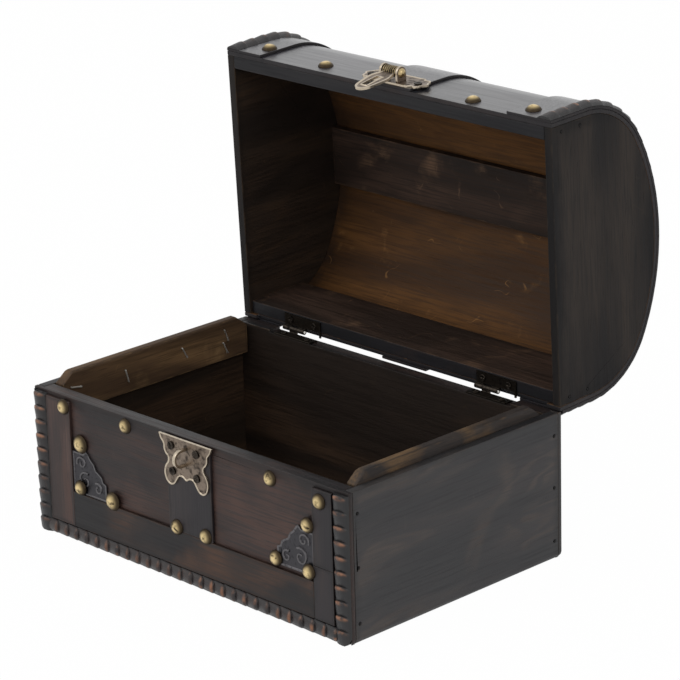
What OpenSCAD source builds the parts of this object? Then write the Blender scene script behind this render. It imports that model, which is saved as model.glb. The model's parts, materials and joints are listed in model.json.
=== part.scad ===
// Wooden money box: a small domed chest with a hinged lid and a swinging hasp.
// The origin is the centre of the underside. X runs along the front, the front
// faces -Y and Z is up. The lid stands open, as it rests on its stop.

/* [Chest] */
// Length of the chest along the front
body_w = 220; // [190:1:260]
// Depth of the chest from front face to back face
body_d = 143; // [130:1:180]
// Height of the chest from the floor to its rim
body_h = 75; // [68:1:110]
// Thickness of the front and back panels
wall_t = 8; // [7:0.5:10]
// Thickness of the two end panels
end_t = 5; // [4.5:0.1:7]
// Thickness of the panel lip that covers the edges of the end panels
lip_t = 2.5; // [2:0.1:3]
// Thickness of the bottom panel
bottom_t = 4; // [3:0.1:6]
// Depth of the hinge rebate along the top of the back panel
seat_drop = 1.5; // [1.2:0.1:1.8]
// Distance of the hinge rebate from each end
seat_in = 26; // [22:0.5:28]

/* [Lip battens] */
// Thickness of the battens inside the two ends
batten_t = 6; // [5:0.1:8]
// Height of a batten above the rim
batten_rise = 5.5; // [4:0.1:8]
// Depth of a batten below the rim
batten_drop = 15; // [12:0.5:25]
// Slope of the cut at each end of a batten
batten_cut = 7; // [5:0.5:10]
// Gap between the end of a batten and the front or back panel
batten_gap = 1.5; // [1.2:0.1:3]
// Bevel along the top edges of a batten
batten_bevel = 1; // [0.5:0.1:1.5]

/* [Front facing] */
// Thickness of the flat facing strips
strip_t = 1.5; // [1.2:0.1:2]
// Width of the left upright strip
left_stile_w = 17.6; // [15:0.1:21]
// Width of the right upright strip
right_stile_w = 13; // [11:0.5:18]
// Height of the top edge of the bottom strip
rail_top = 26.5; // [24:0.5:30]
// Height of the seam across the right upright strip
stile_seam = 34.5; // [32:0.5:40]
// Width of the centre straps of chest and lid
strap_w = 30.5; // [27:0.5:33]
// Place of the centre strap along the front
strap_x = 3.9; // [0:0.1:5]
// Gap between the strips and the rim
strip_top_gap = 2.2; // [2:0.1:3]

/* [Carved mouldings] */
// Width of the upright mouldings at the ends of the front
mould_w = 10; // [9:0.1:11]
// Width of the moulding along the foot of the front
foot_mould_w = 8; // [8:0.1:10]
// Width of the mouldings over the ends of the lid
lid_mould_w = 9; // [8:0.1:10]
// Height of all the half-round mouldings
mould_h = 3.8; // [3:0.1:3.9]
// Gap between the upright mouldings and the rim
mould_top_gap = 1.2; // [1:0.1:3]

/* [Lid] */
// Height of the lid from its rim to the top of the dome
lid_rise = 73.5; // [70:0.5:80]
// Radius of the dome's crown
crown_r = 105; // [100:1:125]
// Radius of the dome's shoulders
shoulder_r = 41; // [38:1:44]
// Thickness of the bent dome sheet
skin_t = 2.2; // [1.8:0.1:3]
// Thickness of the front and back rails of the lid
lid_rail_t = 6.5; // [5:0.1:8]
// Height of the front and back rails of the lid
lid_rail_h = 38; // [34:1:42]
// Width of the stiffener under the crown
stiffener_w = 31; // [26:1:36]
// Thickness of the stiffener under the crown
stiffener_t = 4.5; // [3.5:0.1:6]
// Gap between the rims when the lid is closed
rim_gap = 0.4; // [0.3:0.1:0.8]
// Height of the relief cut along the back of the lid
rear_relief = 1.8; // [1.8:0.1:2.4]
// Distance of that relief from each end
relief_in = 9; // [8:0.5:11]
// Gap between a batten and the inside of a lid end
batten_clear = 0.4; // [0.3:0.1:0.8]
// Angle from the closed lid to the open lid
lid_open = 87.8; // [80:0.1:90]
// Width of the left band over the dome
left_band_w = 24.5; // [20:0.5:28]
// Width of the right band over the dome
right_band_w = 28; // [22:0.5:30]

/* [Hinges] */
// Distance of the middle of each hinge from the end of the back
hinge_in = 42.5; // [41.5:0.5:46]
// Length of a hinge
hinge_l = 26; // [22:0.5:28]
// Width of a hinge leaf
leaf_w = 5.8; // [5:0.1:5.8]
// Thickness of a hinge leaf
leaf_t = 0.8; // [0.6:0.05:0.9]
// Radius of a hinge knuckle
knuckle_r = 1.35; // [1.2:0.05:1.35]
// Length of one hinge knuckle
knuckle_l = 5; // [4:0.1:6]
// Radius of a hinge pin
hinge_pin_r = 0.65; // [0.5:0.05:0.75]
// Running clearance around a hinge or hasp pin
pin_clear = 0.06; // [0.04:0.01:0.08]
// Distance of the hinge axis in front of the back face
axis_in = 0.55; // [0.5:0.05:0.6]
// Height of the hinge axis above the rim
axis_up = 0.75; // [0.7:0.05:0.8]

/* [Hasp and catch] */
// Place of the hasp and catch along the front
hasp_x = 3; // [1:0.1:4]
// Thickness of the catch plate and of the hasp plate
plate_t = 1; // [0.8:0.1:1.2]
// Height of the hasp pin above the lid's rim
hasp_up = 5; // [4.8:0.1:5.4]
// Distance of the hasp pin from the face of the hasp plate
hasp_out = 4.2; // [4:0.1:4.6]
// Radius of the hasp pin
hasp_pin_r = 1.2; // [1:0.1:1.3]
// Radius of the tongue's barrel
barrel_r = 2.8; // [2.5:0.1:2.9]
// Length of the tongue's barrel
barrel_l = 9; // [8:0.1:10]
// Thickness of the ears that hold the hasp pin
ear_t = 1.5; // [1.2:0.1:2]
// Length of the tongue from its pin to its tip
tongue_l = 24.3; // [23.8:0.1:25]
// Width of the tongue
tongue_w = 12.4; // [11:0.1:13]
// Thickness of the tongue
tongue_t = 1.2; // [1:0.1:1.4]
// Lean of the tongue towards the chest at rest
tongue_lean = 7.5; // [5:0.1:7.5]
// Width of the slot in the tongue
slot_w = 3.6; // [3.2:0.1:4]
// Distance of the staple's centre from the hasp pin, down the front
staple_down = 14.1; // [13.9:0.1:14.3]
// Radius of the rounded end of the staple
staple_r = 4.6; // [4:0.1:4.7]
// Radius of the padlock hole in the staple
staple_hole_r = 2.8; // [2.2:0.1:3]
// Thickness of the staple
staple_t = 2; // [1.6:0.1:2.4]
// Distance of the staple's hole from the catch plate
staple_out = 5.6; // [5.2:0.1:6]

/* [Studs, screws and nails] */
// Radius of a small stud head
stud_r = 4.3; // [3.5:0.1:4.6]
// Radius of a large stud head
big_stud_r = 5.2; // [4.8:0.1:5.6]
// Height of a stud head
stud_h = 2.8; // [2.2:0.1:3.2]
// Length of the nail under a stud head
stud_nail_l = 6.5; // [5:0.1:7]
// Radius of the nail under a stud head
stud_nail_r = 0.8; // [0.6:0.05:1]
// Radius of a plate screw's head
screw_head_r = 2; // [1.6:0.1:2.2]
// Height of a screw head above the plate
screw_head_h = 0.6; // [0.4:0.05:0.7]
// Radius of a plate screw's shank
screw_r = 1; // [0.8:0.05:1.2]
// Length of a plate screw in the wood
screw_l = 6; // [5:0.1:6.5]
// Radius of a brad
brad_r = 0.7; // [0.5:0.05:0.9]
// Length of a brad
brad_l = 14; // [10:0.5:18]
// Thickness of the corner ornaments
ornament_t = 0.8; // [0.6:0.05:1]
// Length of the corner ornaments along their straight edges
ornament_w = 24.5; // [20:0.5:26]
// Height of the right ornament above the bottom strip
ornament_up = 2; // [0:0.5:3]

/* [Hidden] */
$fn = 64;

// a small overlap that lets a cut pass its face
eps = 0.1;
// clearance of a nail, screw or staple leg in its hole
fit = 0.05;

// planes of the chest
half_w = body_w / 2;
half_d = body_d / 2;
front_y = -half_d;
strip_y = front_y - strip_t;
inner_x = half_w - end_t;
inner_y = half_d - wall_t;
strip_top = body_h - strip_top_gap;
mould_in = half_w - mould_w;
left_stile_x = -mould_in + left_stile_w;
right_stile_x = mould_in - right_stile_w;
hinge_x = half_w - hinge_in;
batten_end = inner_y - batten_gap;

// the lid, drawn closed: its rim, its pin and its dome
rim_z = body_h + rim_gap;
relief_z = rim_z + rear_relief;
axis_y = half_d - axis_in;
axis_z = body_h + axis_up;
lid_end_t = end_t - batten_clear;
lid_inner_x = half_w - lid_end_t;
shoulder_y = half_d - shoulder_r;
crown_z = lid_rise - crown_r;
shoulder_z = crown_z + sqrt(pow(crown_r - shoulder_r, 2) - pow(shoulder_y, 2));
band_y = -half_d - strip_t;

// the hasp, drawn on the closed lid
plate_y = band_y - plate_t;
hasp_y = plate_y - hasp_out;
hasp_z = rim_z + hasp_up;
ear_r = 3.2;
ear_gap = 0.2;
ear_x = barrel_l / 2 + ear_gap;
slot_clear = 0.5;
staple_reach = norm([hasp_y - (plate_y - staple_out), staple_down]);
slot_in = staple_reach - staple_r - slot_clear;
slot_out = staple_reach + staple_r + slot_clear;
tip_r = 4.7;
hasp_plate_h = 14;
hasp_plate_half = 21;
hasp_plate_z = rim_z + 0.5;
hasp_screw_x = 15.8;
hasp_screw_z = hasp_plate_z + 5.8;
rivet_head_r = 2.4;
rivet_head_h = 1.6;

// the catch, on the chest's front
catch_h = 25;
catch_half = 18.5;
catch_top = body_h - 0.4;
staple_z = hasp_z - staple_down;
staple_root = 2 * staple_r - 0.8;
catch_screws_at = [[-9.9, -4.7], [7.6, -5.1], [-9.3, -17.5], [7.6, -17.3]];

// studs on the chest's front as [x, z], placed by hand from the edges near them
front_studs_at = [
    [-half_w + 23.6, body_h - 5.3], [-half_w + 67.8, body_h - 4.8],
    [left_stile_x + 6.1, rail_top + 3.4],
    [strap_x - 9.7, rail_top + 1.8], [strap_x + 10.6, rail_top + 2.4],
    [half_w - 51.4, body_h - 5.7], [half_w - 17.7, body_h - 7.8], [right_stile_x - 2.9, body_h - 21.5],
    [right_stile_x - 25.2, rail_top + 4.5], [right_stile_x - 2.6, rail_top + 4.1]
];
big_studs_at = [[left_stile_x + 6.6, body_h - 22.4], [left_stile_x + 29.8, rail_top + 2.5]];
// studs on the lid's front as [x, height over the rim]
lid_studs_at = [[-half_w + 20, 11], [-half_w + 62.5, 8.8], [half_w - 55.5, 6.6], [half_w - 18.5, 8.5]];
// staples on a batten's inner face as [y, depth under the rim, turn]
staples_at = [
    [-batten_end + 8, 3, 10], [-batten_end + 41, 6, 75],
    [batten_end - 44, 4, 60], [batten_end - 15, 2, 70], [batten_end - 16, 8.5, 65]
];
staple_crown = 7;
staple_leg = 4.5;
staple_wire = 0.7;
// heights of the brads at each corner of the chest and above the lid's rim
chest_brads_at = [10, body_h / 2, body_h - 11];
lid_brads_at = [7, 20];

// the wood of the box
walnut = [0.16, 0.10, 0.07];
amber = [0.36, 0.22, 0.10];
black = [0.07, 0.06, 0.06];
bronze = [0.46, 0.38, 0.24];
brass = [0.70, 0.56, 0.30];
pewter = [0.14, 0.14, 0.15];
steel = [0.60, 0.60, 0.58];

// ---- shared shapes ----

// turns what is drawn on the closed lid up to the open lid
module opened() {
    translate([0, axis_y, axis_z])
        rotate([-lid_open, 0, 0])
            translate([0, -axis_y, -axis_z]) children();
}

// a block given by its two corners
module block(low, high) {
    translate(low) cube(high - low);
}

// a round bar along X
module bar_x(r, x0, x1, y, z) {
    translate([x0, y, z]) rotate([0, 90, 0]) cylinder(r = r, h = x1 - x0);
}

// a round bar that runs into the front, towards +Y
module bar_y(r, x, y0, y1, z) {
    translate([x, y1, z]) rotate([90, 0, 0]) cylinder(r = r, h = y1 - y0);
}

// draws a flat outline of [x, z] in a plane that faces the front, t thick
module on_front(y, t) {
    translate([0, y, 0]) rotate([90, 0, 0]) linear_extrude(t) children();
}

// the dome's outline as [y, height over the rim], moved in by inset
module dome_outline(inset) {
    half = half_d - inset;
    crown = crown_r - inset;
    shoulder = shoulder_r - inset;
    dir = [shoulder_y, shoulder_z - crown_z] / (crown_r - shoulder_r);
    far = 1.3 * crown;
    translate([-half, 0]) square([2 * half, shoulder_z]);
    for (s = [-1, 1]) intersection() {
        translate([s * shoulder_y, shoulder_z]) circle(shoulder);
        translate([-half, 0]) square([2 * half, lid_rise]);
    }
    intersection() {
        translate([0, crown_z]) circle(crown);
        polygon([
            [-shoulder_y, shoulder_z - eps], [shoulder_y, shoulder_z - eps], [shoulder_y, shoulder_z],
            [dir.x * far, crown_z + dir.y * far], [-dir.x * far, crown_z + dir.y * far],
            [-shoulder_y, shoulder_z]
        ]);
    }
}

// the dome's outline drawn out along X from x0 to x1, standing on the rim
module dome_block(inset, x0, x1) {
    translate([x0, 0, rim_z]) rotate([90, 0, 90]) linear_extrude(x1 - x0) dome_outline(inset);
}

// a bent sheet over the dome, from inset in to inset out, cut clear of the hinge side
module dome_sheet(inset, outset, x0, x1) {
    difference() {
        dome_block(-outset, x0, x1);
        dome_block(inset, x0 - eps, x1 + eps);
    }
}

// what the bands of the lid lose at the back rim
module back_clearance() {
    block([-half_w - eps, 0, rim_z - eps], [half_w + eps, half_d + 3 * strip_t, relief_z]);
}

// the half-round section of a moulding w wide, flat side on the X axis
module mould_section(w) {
    r = (pow(w / 2, 2) + pow(mould_h, 2)) / (2 * mould_h);
    intersection() {
        translate([0, mould_h - r]) circle(r);
        translate([-w / 2, 0]) square([w, mould_h]);
    }
}

// a stud: a domed head on a nail, head towards -Y
module stud(x, z, face, r) {
    ball = (r * r + stud_h * stud_h) / (2 * stud_h);
    translate([x, face, z]) rotate([90, 0, 0]) {
        intersection() {
            translate([0, 0, stud_h - ball]) sphere(ball);
            cylinder(r = r, h = stud_h);
        }
        translate([0, 0, -stud_nail_l]) cylinder(r = stud_nail_r, h = stud_nail_l + eps);
    }
}

// whether a disc at p reaches over a strip, or over the square round a corner ornament
function over_strip(p, r) =
    p.x - r < left_stile_x || p.x + r > right_stile_x || p.y - r < rail_top
        || abs(p.x - strap_x) - r < strap_w / 2;
function over_ornament(p, r) =
    (p.x - r < left_stile_x + ornament_w && p.y - r < rail_top + ornament_w)
        || (p.x + r > right_stile_x - ornament_w && p.y - r < rail_top + ornament_up + ornament_w);

// the face under a stud on the chest's front: the highest of what it reaches over
function stud_face(p, r) =
    over_strip(p, r) ? strip_y : over_ornament(p, r) ? front_y - ornament_t : front_y;

// the holes of all studs on the chest's front
module front_stud_holes() {
    for (p = concat(front_studs_at, big_studs_at))
        bar_y(stud_nail_r + fit, p.x, strip_y - eps, strip_y + stud_nail_l + strip_t + fit, p.y);
}

// a screw with a cross slot: its head stands on a plate, its shank goes in along +Z here
module screw(head_r, head_h, r, l) {
    difference() {
        cylinder(r = head_r, h = head_h);
        for (a = [0, 90]) rotate([0, 0, a])
            translate([-head_r * 0.7, -head_r * 0.11, head_h * 0.5])
                cube([head_r * 1.4, head_r * 0.22, head_h]);
    }
    translate([0, 0, -l]) cylinder(r = r, h = l + eps / 2);
}

// ---- chest ----

module bottom_panel() {
    color(amber) block([-inner_x, -inner_y, 0], [inner_x, inner_y, bottom_t]);
}

// a front or back panel from above: a full lip and a narrower body between the ends
module rebated_panel() {
    linear_extrude(body_h) polygon([
        [-half_w, front_y], [half_w, front_y], [half_w, front_y + lip_t],
        [inner_x, front_y + lip_t], [inner_x, -inner_y], [-inner_x, -inner_y],
        [-inner_x, front_y + lip_t], [-half_w, front_y + lip_t]
    ]);
}

module front_panel() {
    color(walnut) difference() {
        rebated_panel();
        chest_brad_holes();
        front_stud_holes();
        catch_screw_holes();
    }
}

module back_panel() {
    color(walnut) difference() {
        rotate([0, 0, 180]) rebated_panel();
        block([-half_w + seat_in, inner_y - eps, body_h - seat_drop],
              [half_w - seat_in, half_d + eps, body_h + eps]);
        chest_brad_holes();
        for (s = [-1, 1]) chest_leaf_holes(s);
    }
}

module end_panel(side) {
    color(walnut) difference() {
        translate([side > 0 ? inner_x : -half_w, front_y + lip_t, 0])
            cube([end_t, body_d - 2 * lip_t, body_h]);
        chest_brad_holes();
    }
}

module left_end_panel() { end_panel(-1); }
module right_end_panel() { end_panel(1); }

// a brad at each place, driven through an end panel into a front or back panel
module chest_brad_set(r, l) {
    for (s = [-1, 1], f = [-1, 1], z = chest_brads_at)
        bar_x(r, s > 0 ? half_w - l : -half_w, s > 0 ? half_w : -half_w + l,
              f * (inner_y + (wall_t - lip_t) / 2), z);
}

module chest_brads() { color(black) chest_brad_set(brad_r, brad_l); }
module chest_brad_holes() { chest_brad_set(brad_r + fit, brad_l + fit); }

// a batten inside one end, with sloped ends above the rim and a small bevel on top
module lip_batten(side) {
    low = body_h - batten_drop;
    high = body_h + batten_rise;
    color(amber) difference() {
        intersection() {
            translate([side * (inner_x - batten_t / 2) - batten_t / 2, 0, 0]) rotate([90, 0, 90])
                linear_extrude(batten_t) polygon([
                    [-batten_end, low], [batten_end, low], [batten_end, body_h],
                    [batten_end - batten_cut, high], [-batten_end + batten_cut, high], [-batten_end, body_h]
                ]);
            translate([side * (inner_x - batten_t / 2), batten_end + eps, 0]) rotate([90, 0, 0])
                linear_extrude(2 * (batten_end + eps)) polygon([
                    [-batten_t / 2, low], [batten_t / 2, low], [batten_t / 2, high - batten_bevel],
                    [batten_t / 2 - batten_bevel, high], [-batten_t / 2 + batten_bevel, high],
                    [-batten_t / 2, high - batten_bevel]
                ]);
        }
        staple_set(side, staple_wire + 2 * fit, staple_leg + fit);
    }
}

module left_lip_batten() { lip_batten(-1); }
module right_lip_batten() { lip_batten(1); }

// the staples of one batten: a crown that lies on the face and two legs in the wood
module staple_set(side, wire, leg) {
    face = side * (inner_x - batten_t);
    for (p = staples_at) translate([face, p.x, body_h - p.y]) rotate([side * p.z, 0, 0]) {
        translate([side > 0 ? -staple_wire : 0, -staple_crown / 2, -wire / 2])
            cube([staple_wire, staple_crown, wire]);
        for (e = [-1, 1])
            translate([side > 0 ? -eps : -leg, e * (staple_crown - staple_wire) / 2 - wire / 2, -wire / 2])
                cube([leg + eps, wire, wire]);
    }
}

module batten_staples() {
    color(steel) for (s = [-1, 1]) staple_set(s, staple_wire, staple_leg);
}

// ---- facing of the chest's front ----

// a flat strip on the front between two corners
module strip(x0, z0, x1, z1) {
    color(walnut) difference() {
        block([x0, strip_y, z0], [x1, front_y, z1]);
        front_stud_holes();
        catch_screw_holes();
    }
}

module left_stile() { strip(-mould_in, foot_mould_w, left_stile_x, strip_top); }
module bottom_strip() { strip(left_stile_x, foot_mould_w, right_stile_x, rail_top); }
module right_stile_lower() { strip(right_stile_x, foot_mould_w, mould_in, stile_seam); }
module right_stile_upper() { strip(right_stile_x, stile_seam, mould_in, strip_top); }
module centre_strap() { strip(strap_x - strap_w / 2, rail_top, strap_x + strap_w / 2, strip_top); }

// an upright carved moulding at one end of the front
module upright_moulding(side) {
    color(walnut) translate([side * (half_w - mould_w / 2), front_y, 0])
        rotate([0, 0, 180]) linear_extrude(body_h - mould_top_gap) mould_section(mould_w);
}

module left_moulding() { upright_moulding(-1); }
module right_moulding() { upright_moulding(1); }

// the moulding along the foot of the front, between the uprights
module bottom_moulding() {
    color(walnut) translate([-mould_in, front_y, foot_mould_w / 2])
        rotate([0, 90, 0]) linear_extrude(2 * mould_in) mirror([0, 1]) mould_section(foot_mould_w);
}

// a stepped corner plate, its square corner at the origin
module ornament_outline() {
    w = ornament_w;
    polygon([
        [0, 0], [w, 0], [w, w * 0.36], [w * 0.91, w * 0.40], [w * 0.87, w * 0.50],
        [w * 0.76, w * 0.57], [w * 0.70, w * 0.60], [w * 0.64, w * 0.72], [w * 0.54, w * 0.80],
        [w * 0.47, w * 0.90], [w * 0.40, w * 0.94], [w * 0.33, w * 0.87], [0, w * 0.87]
    ]);
}

module ornament(side) {
    color(pewter) difference() {
        translate([side < 0 ? left_stile_x : right_stile_x, 0, rail_top + (side < 0 ? 0 : ornament_up)])
            mirror([side < 0 ? 0 : 1, 0, 0]) on_front(front_y, ornament_t) ornament_outline();
        front_stud_holes();
    }
}

module left_ornament() { ornament(-1); }
module right_ornament() { ornament(1); }

module front_studs() {
    color(brass) for (p = front_studs_at) stud(p.x, p.y, stud_face(p, stud_r), stud_r);
}

module front_large_studs() {
    color(brass) for (p = big_studs_at) stud(p.x, p.y, stud_face(p, big_stud_r), big_stud_r);
}

// ---- catch on the chest ----

// the catch plate without its lobes: straight on top, with pointed ears and notched sides
module catch_outline() {
    half = catch_half;
    difference() {
        polygon([
            [-half, 0], [half, 0], [half - 1.4, -2.6], [half - 3, -5], [half - 3.2, -9],
            [half - 5.4, -11], [half - 5, -16], [half - 4.2, -19], [half - 10.5, -20],
            [-half + 10.5, -20], [-half + 4.2, -19], [-half + 5, -16], [-half + 5.4, -11],
            [-half + 3.2, -9], [-half + 3, -5], [-half + 1.4, -2.6]
        ]);
        for (s = [-1, 1]) translate([s * (half - 2.6), -11.6]) circle(1.9);
    }
}

module catch_plate() {
    root = staple_root / 2 + fit;
    lobe_r = 4.6;
    lobe_x = catch_half - 8.2;
    color(bronze) difference() {
        union() {
            translate([hasp_x, 0, catch_top]) on_front(strip_y, plate_t) catch_outline();
            for (s = [-1, 1])
                bar_y(lobe_r, hasp_x + s * lobe_x, plate_y, strip_y, catch_top - catch_h + lobe_r);
        }
        catch_screw_holes();
        block([hasp_x - staple_t / 2 - fit, plate_y - eps, staple_z - root + 1],
              [hasp_x + staple_t / 2 + fit, strip_y + eps, staple_z + root - 1]);
    }
}

// the padlock eye: a rounded lug with a hole, let through the plate by a tenon
module catch_staple() {
    root = staple_root / 2;
    eye_y = plate_y - staple_out;
    color(bronze) difference() {
        union() {
            bar_x(staple_r, hasp_x - staple_t / 2, hasp_x + staple_t / 2, eye_y, staple_z);
            block([hasp_x - staple_t / 2, eye_y, staple_z - root],
                  [hasp_x + staple_t / 2, plate_y, staple_z + root]);
            block([hasp_x - staple_t / 2, plate_y - eps, staple_z - root + 1 + fit],
                  [hasp_x + staple_t / 2, strip_y, staple_z + root - 1 - fit]);
        }
        bar_x(staple_hole_r, hasp_x - staple_t, hasp_x + staple_t, eye_y, staple_z);
    }
}

module catch_screws() {
    color(bronze) for (p = catch_screws_at)
        translate([hasp_x + p.x, plate_y, catch_top + p.y]) rotate([90, 0, 0])
            screw(screw_head_r, screw_head_h, screw_r, screw_l);
}

module catch_screw_holes() {
    for (p = catch_screws_at)
        bar_y(screw_r + fit, hasp_x + p.x, plate_y - eps, plate_y + screw_l + fit, catch_top + p.y);
}

// ---- hinges ----

// knuckles in the order lid, chest, lid, counted from the hinge's left end
function knuckle_at(i) = -hinge_l / 2 + i * (knuckle_l + 2 * fit);

// one knuckle of a hinge whose middle is at x
module knuckle(x, i) {
    bar_x(knuckle_r, x + knuckle_at(i), x + knuckle_at(i) + knuckle_l, axis_y, axis_z);
}

leaf_y = axis_y - knuckle_r - 0.25;
seat_z = body_h - seat_drop;
leaf_screws_x = [-hinge_l / 2 + 4.5, hinge_l / 2 - 4.5];

// the bore for the pin through every knuckle
module pin_bore(x) {
    bar_x(hinge_pin_r + pin_clear, x - hinge_l, x + hinge_l, axis_y, axis_z);
}

// the lower leaf, on the rebate of the back panel, with the middle knuckle
module chest_leaf(side) {
    x = side * hinge_x;
    color(bronze) difference() {
        union() {
            block([x - hinge_l / 2, leaf_y - leaf_w, seat_z], [x + hinge_l / 2, leaf_y, seat_z + leaf_t]);
            block([x + knuckle_at(1), leaf_y - eps, seat_z],
                  [x + knuckle_at(1) + knuckle_l, axis_y, seat_z + leaf_t]);
            block([x + knuckle_at(1), axis_y - knuckle_r, seat_z + leaf_t - eps],
                  [x + knuckle_at(1) + knuckle_l, axis_y, axis_z]);
            knuckle(x, 1);
        }
        pin_bore(x);
        chest_leaf_holes(side);
    }
}

module left_hinge_chest_leaf() { chest_leaf(-1); }
module right_hinge_chest_leaf() { chest_leaf(1); }

hinge_screw_r = 0.9;
hinge_head_r = 1.7;
hinge_head_h = 0.5;
hinge_screw_l = 6;

module chest_leaf_holes(side) {
    for (x = leaf_screws_x) translate([side * hinge_x + x, leaf_y - leaf_w / 2, seat_z - hinge_screw_l - fit])
        cylinder(r = hinge_screw_r + fit, h = hinge_screw_l + 2 * leaf_t);
}

module hinge_chest_screws() {
    color(bronze) for (s = [-1, 1], x = leaf_screws_x)
        translate([s * hinge_x + x, leaf_y - leaf_w / 2, seat_z + leaf_t])
            screw(hinge_head_r, hinge_head_h, hinge_screw_r, hinge_screw_l + leaf_t);
}

// the pin of one hinge, through its three knuckles
module hinge_pin(side) {
    x = side * hinge_x;
    color(steel) bar_x(hinge_pin_r, x + knuckle_at(0), x + knuckle_at(2) + knuckle_l, axis_y, axis_z);
}

module left_hinge_pin() { hinge_pin(-1); }
module right_hinge_pin() { hinge_pin(1); }

// the upper leaf, under the back rail of the lid, with the outer knuckles and a narrow finger
module lid_leaf(side) {
    x = side * hinge_x;
    low = relief_z - leaf_t;
    finger = 1.2;
    color(bronze) opened() difference() {
        union() {
            block([x - hinge_l / 2, leaf_y - leaf_w, low], [x + hinge_l / 2, leaf_y, relief_z]);
            for (i = [0, 2]) {
                block([x + knuckle_at(i), leaf_y - eps, low],
                      [x + knuckle_at(i) + knuckle_l, axis_y, axis_z + knuckle_r]);
                knuckle(x, i);
            }
            block([x + hinge_l / 2 - finger, leaf_y - eps, low], [x + hinge_l / 2, half_d + 0.6, relief_z]);
        }
        pin_bore(x);
        lid_leaf_holes(side);
    }
}

module left_hinge_lid_leaf() { lid_leaf(-1); }
module right_hinge_lid_leaf() { lid_leaf(1); }

module lid_leaf_holes(side) {
    for (x = leaf_screws_x) translate([side * hinge_x + x, leaf_y - leaf_w / 2, relief_z - 2 * leaf_t])
        cylinder(r = hinge_screw_r + fit, h = hinge_screw_l + 2 * leaf_t + fit);
}

module hinge_lid_screws() {
    color(bronze) opened() for (s = [-1, 1], x = leaf_screws_x)
        translate([s * hinge_x + x, leaf_y - leaf_w / 2, relief_z - leaf_t]) mirror([0, 0, 1])
            screw(hinge_head_r, hinge_head_h, hinge_screw_r, hinge_screw_l + leaf_t);
}

// ---- lid ----

// a D-shaped end board under the dome sheet
module lid_end(side) {
    color(walnut) opened() difference() {
        dome_block(skin_t, side > 0 ? lid_inner_x : -half_w, side > 0 ? half_w : -lid_inner_x);
        lid_brad_set(brad_r + fit, brad_l + fit);
    }
}

module lid_left_end() { lid_end(-1); }
module lid_right_end() { lid_end(1); }

// a front or back rail between the ends, shaped to the inside of the dome
module lid_rail(side) {
    out = half_d - skin_t;
    low = side > 0 ? relief_z : rim_z;
    difference() {
        intersection() {
            dome_block(skin_t, -lid_inner_x, lid_inner_x);
            block([-lid_inner_x, side > 0 ? out - lid_rail_t : -out, low],
                  [lid_inner_x, side > 0 ? out : -out + lid_rail_t, rim_z + lid_rail_h]);
        }
        lid_brad_set(brad_r + fit, brad_l + fit);
        lid_stud_holes();
        hasp_screw_holes();
        for (s = [-1, 1]) lid_leaf_holes(s);
    }
}

module lid_front_rail() { color(walnut) opened() lid_rail(-1); }
module lid_back_rail() { color(walnut) opened() lid_rail(1); }

// a brad at each place, driven through a lid end into a rail
module lid_brad_set(r, l) {
    for (s = [-1, 1], f = [-1, 1], z = lid_brads_at)
        bar_x(r, s > 0 ? half_w - l : -half_w, s > 0 ? half_w : -half_w + l,
              f * (half_d - skin_t - lid_rail_t / 2), rim_z + z);
}

module lid_brads() { color(black) opened() lid_brad_set(brad_r, brad_l); }

// the bent sheet that makes the dome
module lid_dome() {
    color(walnut) opened() difference() {
        dome_sheet(skin_t, 0, -half_w, half_w);
        block([-half_w + relief_in, 0, rim_z - eps], [half_w - relief_in, half_d + eps, relief_z]);
        lid_stud_holes();
        hasp_screw_holes();
    }
}

// the flat board under the crown, seated where its edges meet the dome
module lid_stiffener() {
    inner_r = crown_r - skin_t;
    seat = crown_z + sqrt(inner_r * inner_r - stiffener_w * stiffener_w / 4);
    color(walnut) opened() block([-lid_inner_x, -stiffener_w / 2, rim_z + seat - stiffener_t],
                                 [lid_inner_x, stiffener_w / 2, rim_z + seat]);
}

// a flat band bent over the dome from front rim to back rim
module band(x0, x1) {
    color(walnut) opened() difference() {
        dome_sheet(0, strip_t, x0, x1);
        back_clearance();
        lid_stud_holes();
        hasp_screw_holes();
    }
}

module lid_left_band() { band(-half_w, -half_w + left_band_w); }
module lid_centre_band() { band(strap_x - strap_w / 2, strap_x + strap_w / 2); }
module lid_right_band() { band(half_w - right_band_w, half_w); }

// a length of moulding bent round an arc of radius r about [y, z], from one angle to another,
// a hair short at both ends, where the next length butts against it
module bent_moulding(r, y, z, from, to) {
    hair = 0.02;
    translate([0, y, rim_z + z]) rotate([0, 90, 0]) rotate([0, 0, 270 - to + hair])
        rotate_extrude(angle = to - from - 2 * hair)
            translate([r, 0]) rotate([0, 0, -90]) mould_section(lid_mould_w);
}

// the carved moulding along one edge of the dome, over the band, clear of the back rim
module dome_moulding(side) {
    flare = asin(shoulder_y / (crown_r - shoulder_r));
    color(walnut) opened() translate([side * (half_w - lid_mould_w / 2), 0, 0]) {
        for (f = [0, 1]) mirror([0, f, 0]) {
            foot = f > 0 ? relief_z : rim_z;
            translate([0, band_y, foot]) rotate([0, 0, 180])
                linear_extrude(rim_z + shoulder_z - foot) mould_section(lid_mould_w);
            bent_moulding(shoulder_r + strip_t, -shoulder_y, shoulder_z, 0, 90 - flare);
        }
        bent_moulding(crown_r + strip_t, 0, crown_z, 90 - flare, 90 + flare);
    }
}

module lid_left_moulding() { dome_moulding(-1); }
module lid_right_moulding() { dome_moulding(1); }

// the face of the lid's front that carries a stud
function lid_face(x) =
    (x < -half_w + left_band_w || x > half_w - right_band_w) ? band_y : -half_d;

module lid_studs() {
    color(brass) opened() for (p = lid_studs_at) stud(p.x, rim_z + p.y, lid_face(p.x), stud_r);
}

module lid_stud_holes() {
    for (p = lid_studs_at)
        bar_y(stud_nail_r + fit, p.x, band_y - eps, lid_face(p.x) + stud_nail_l + fit, rim_z + p.y);
}

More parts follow.
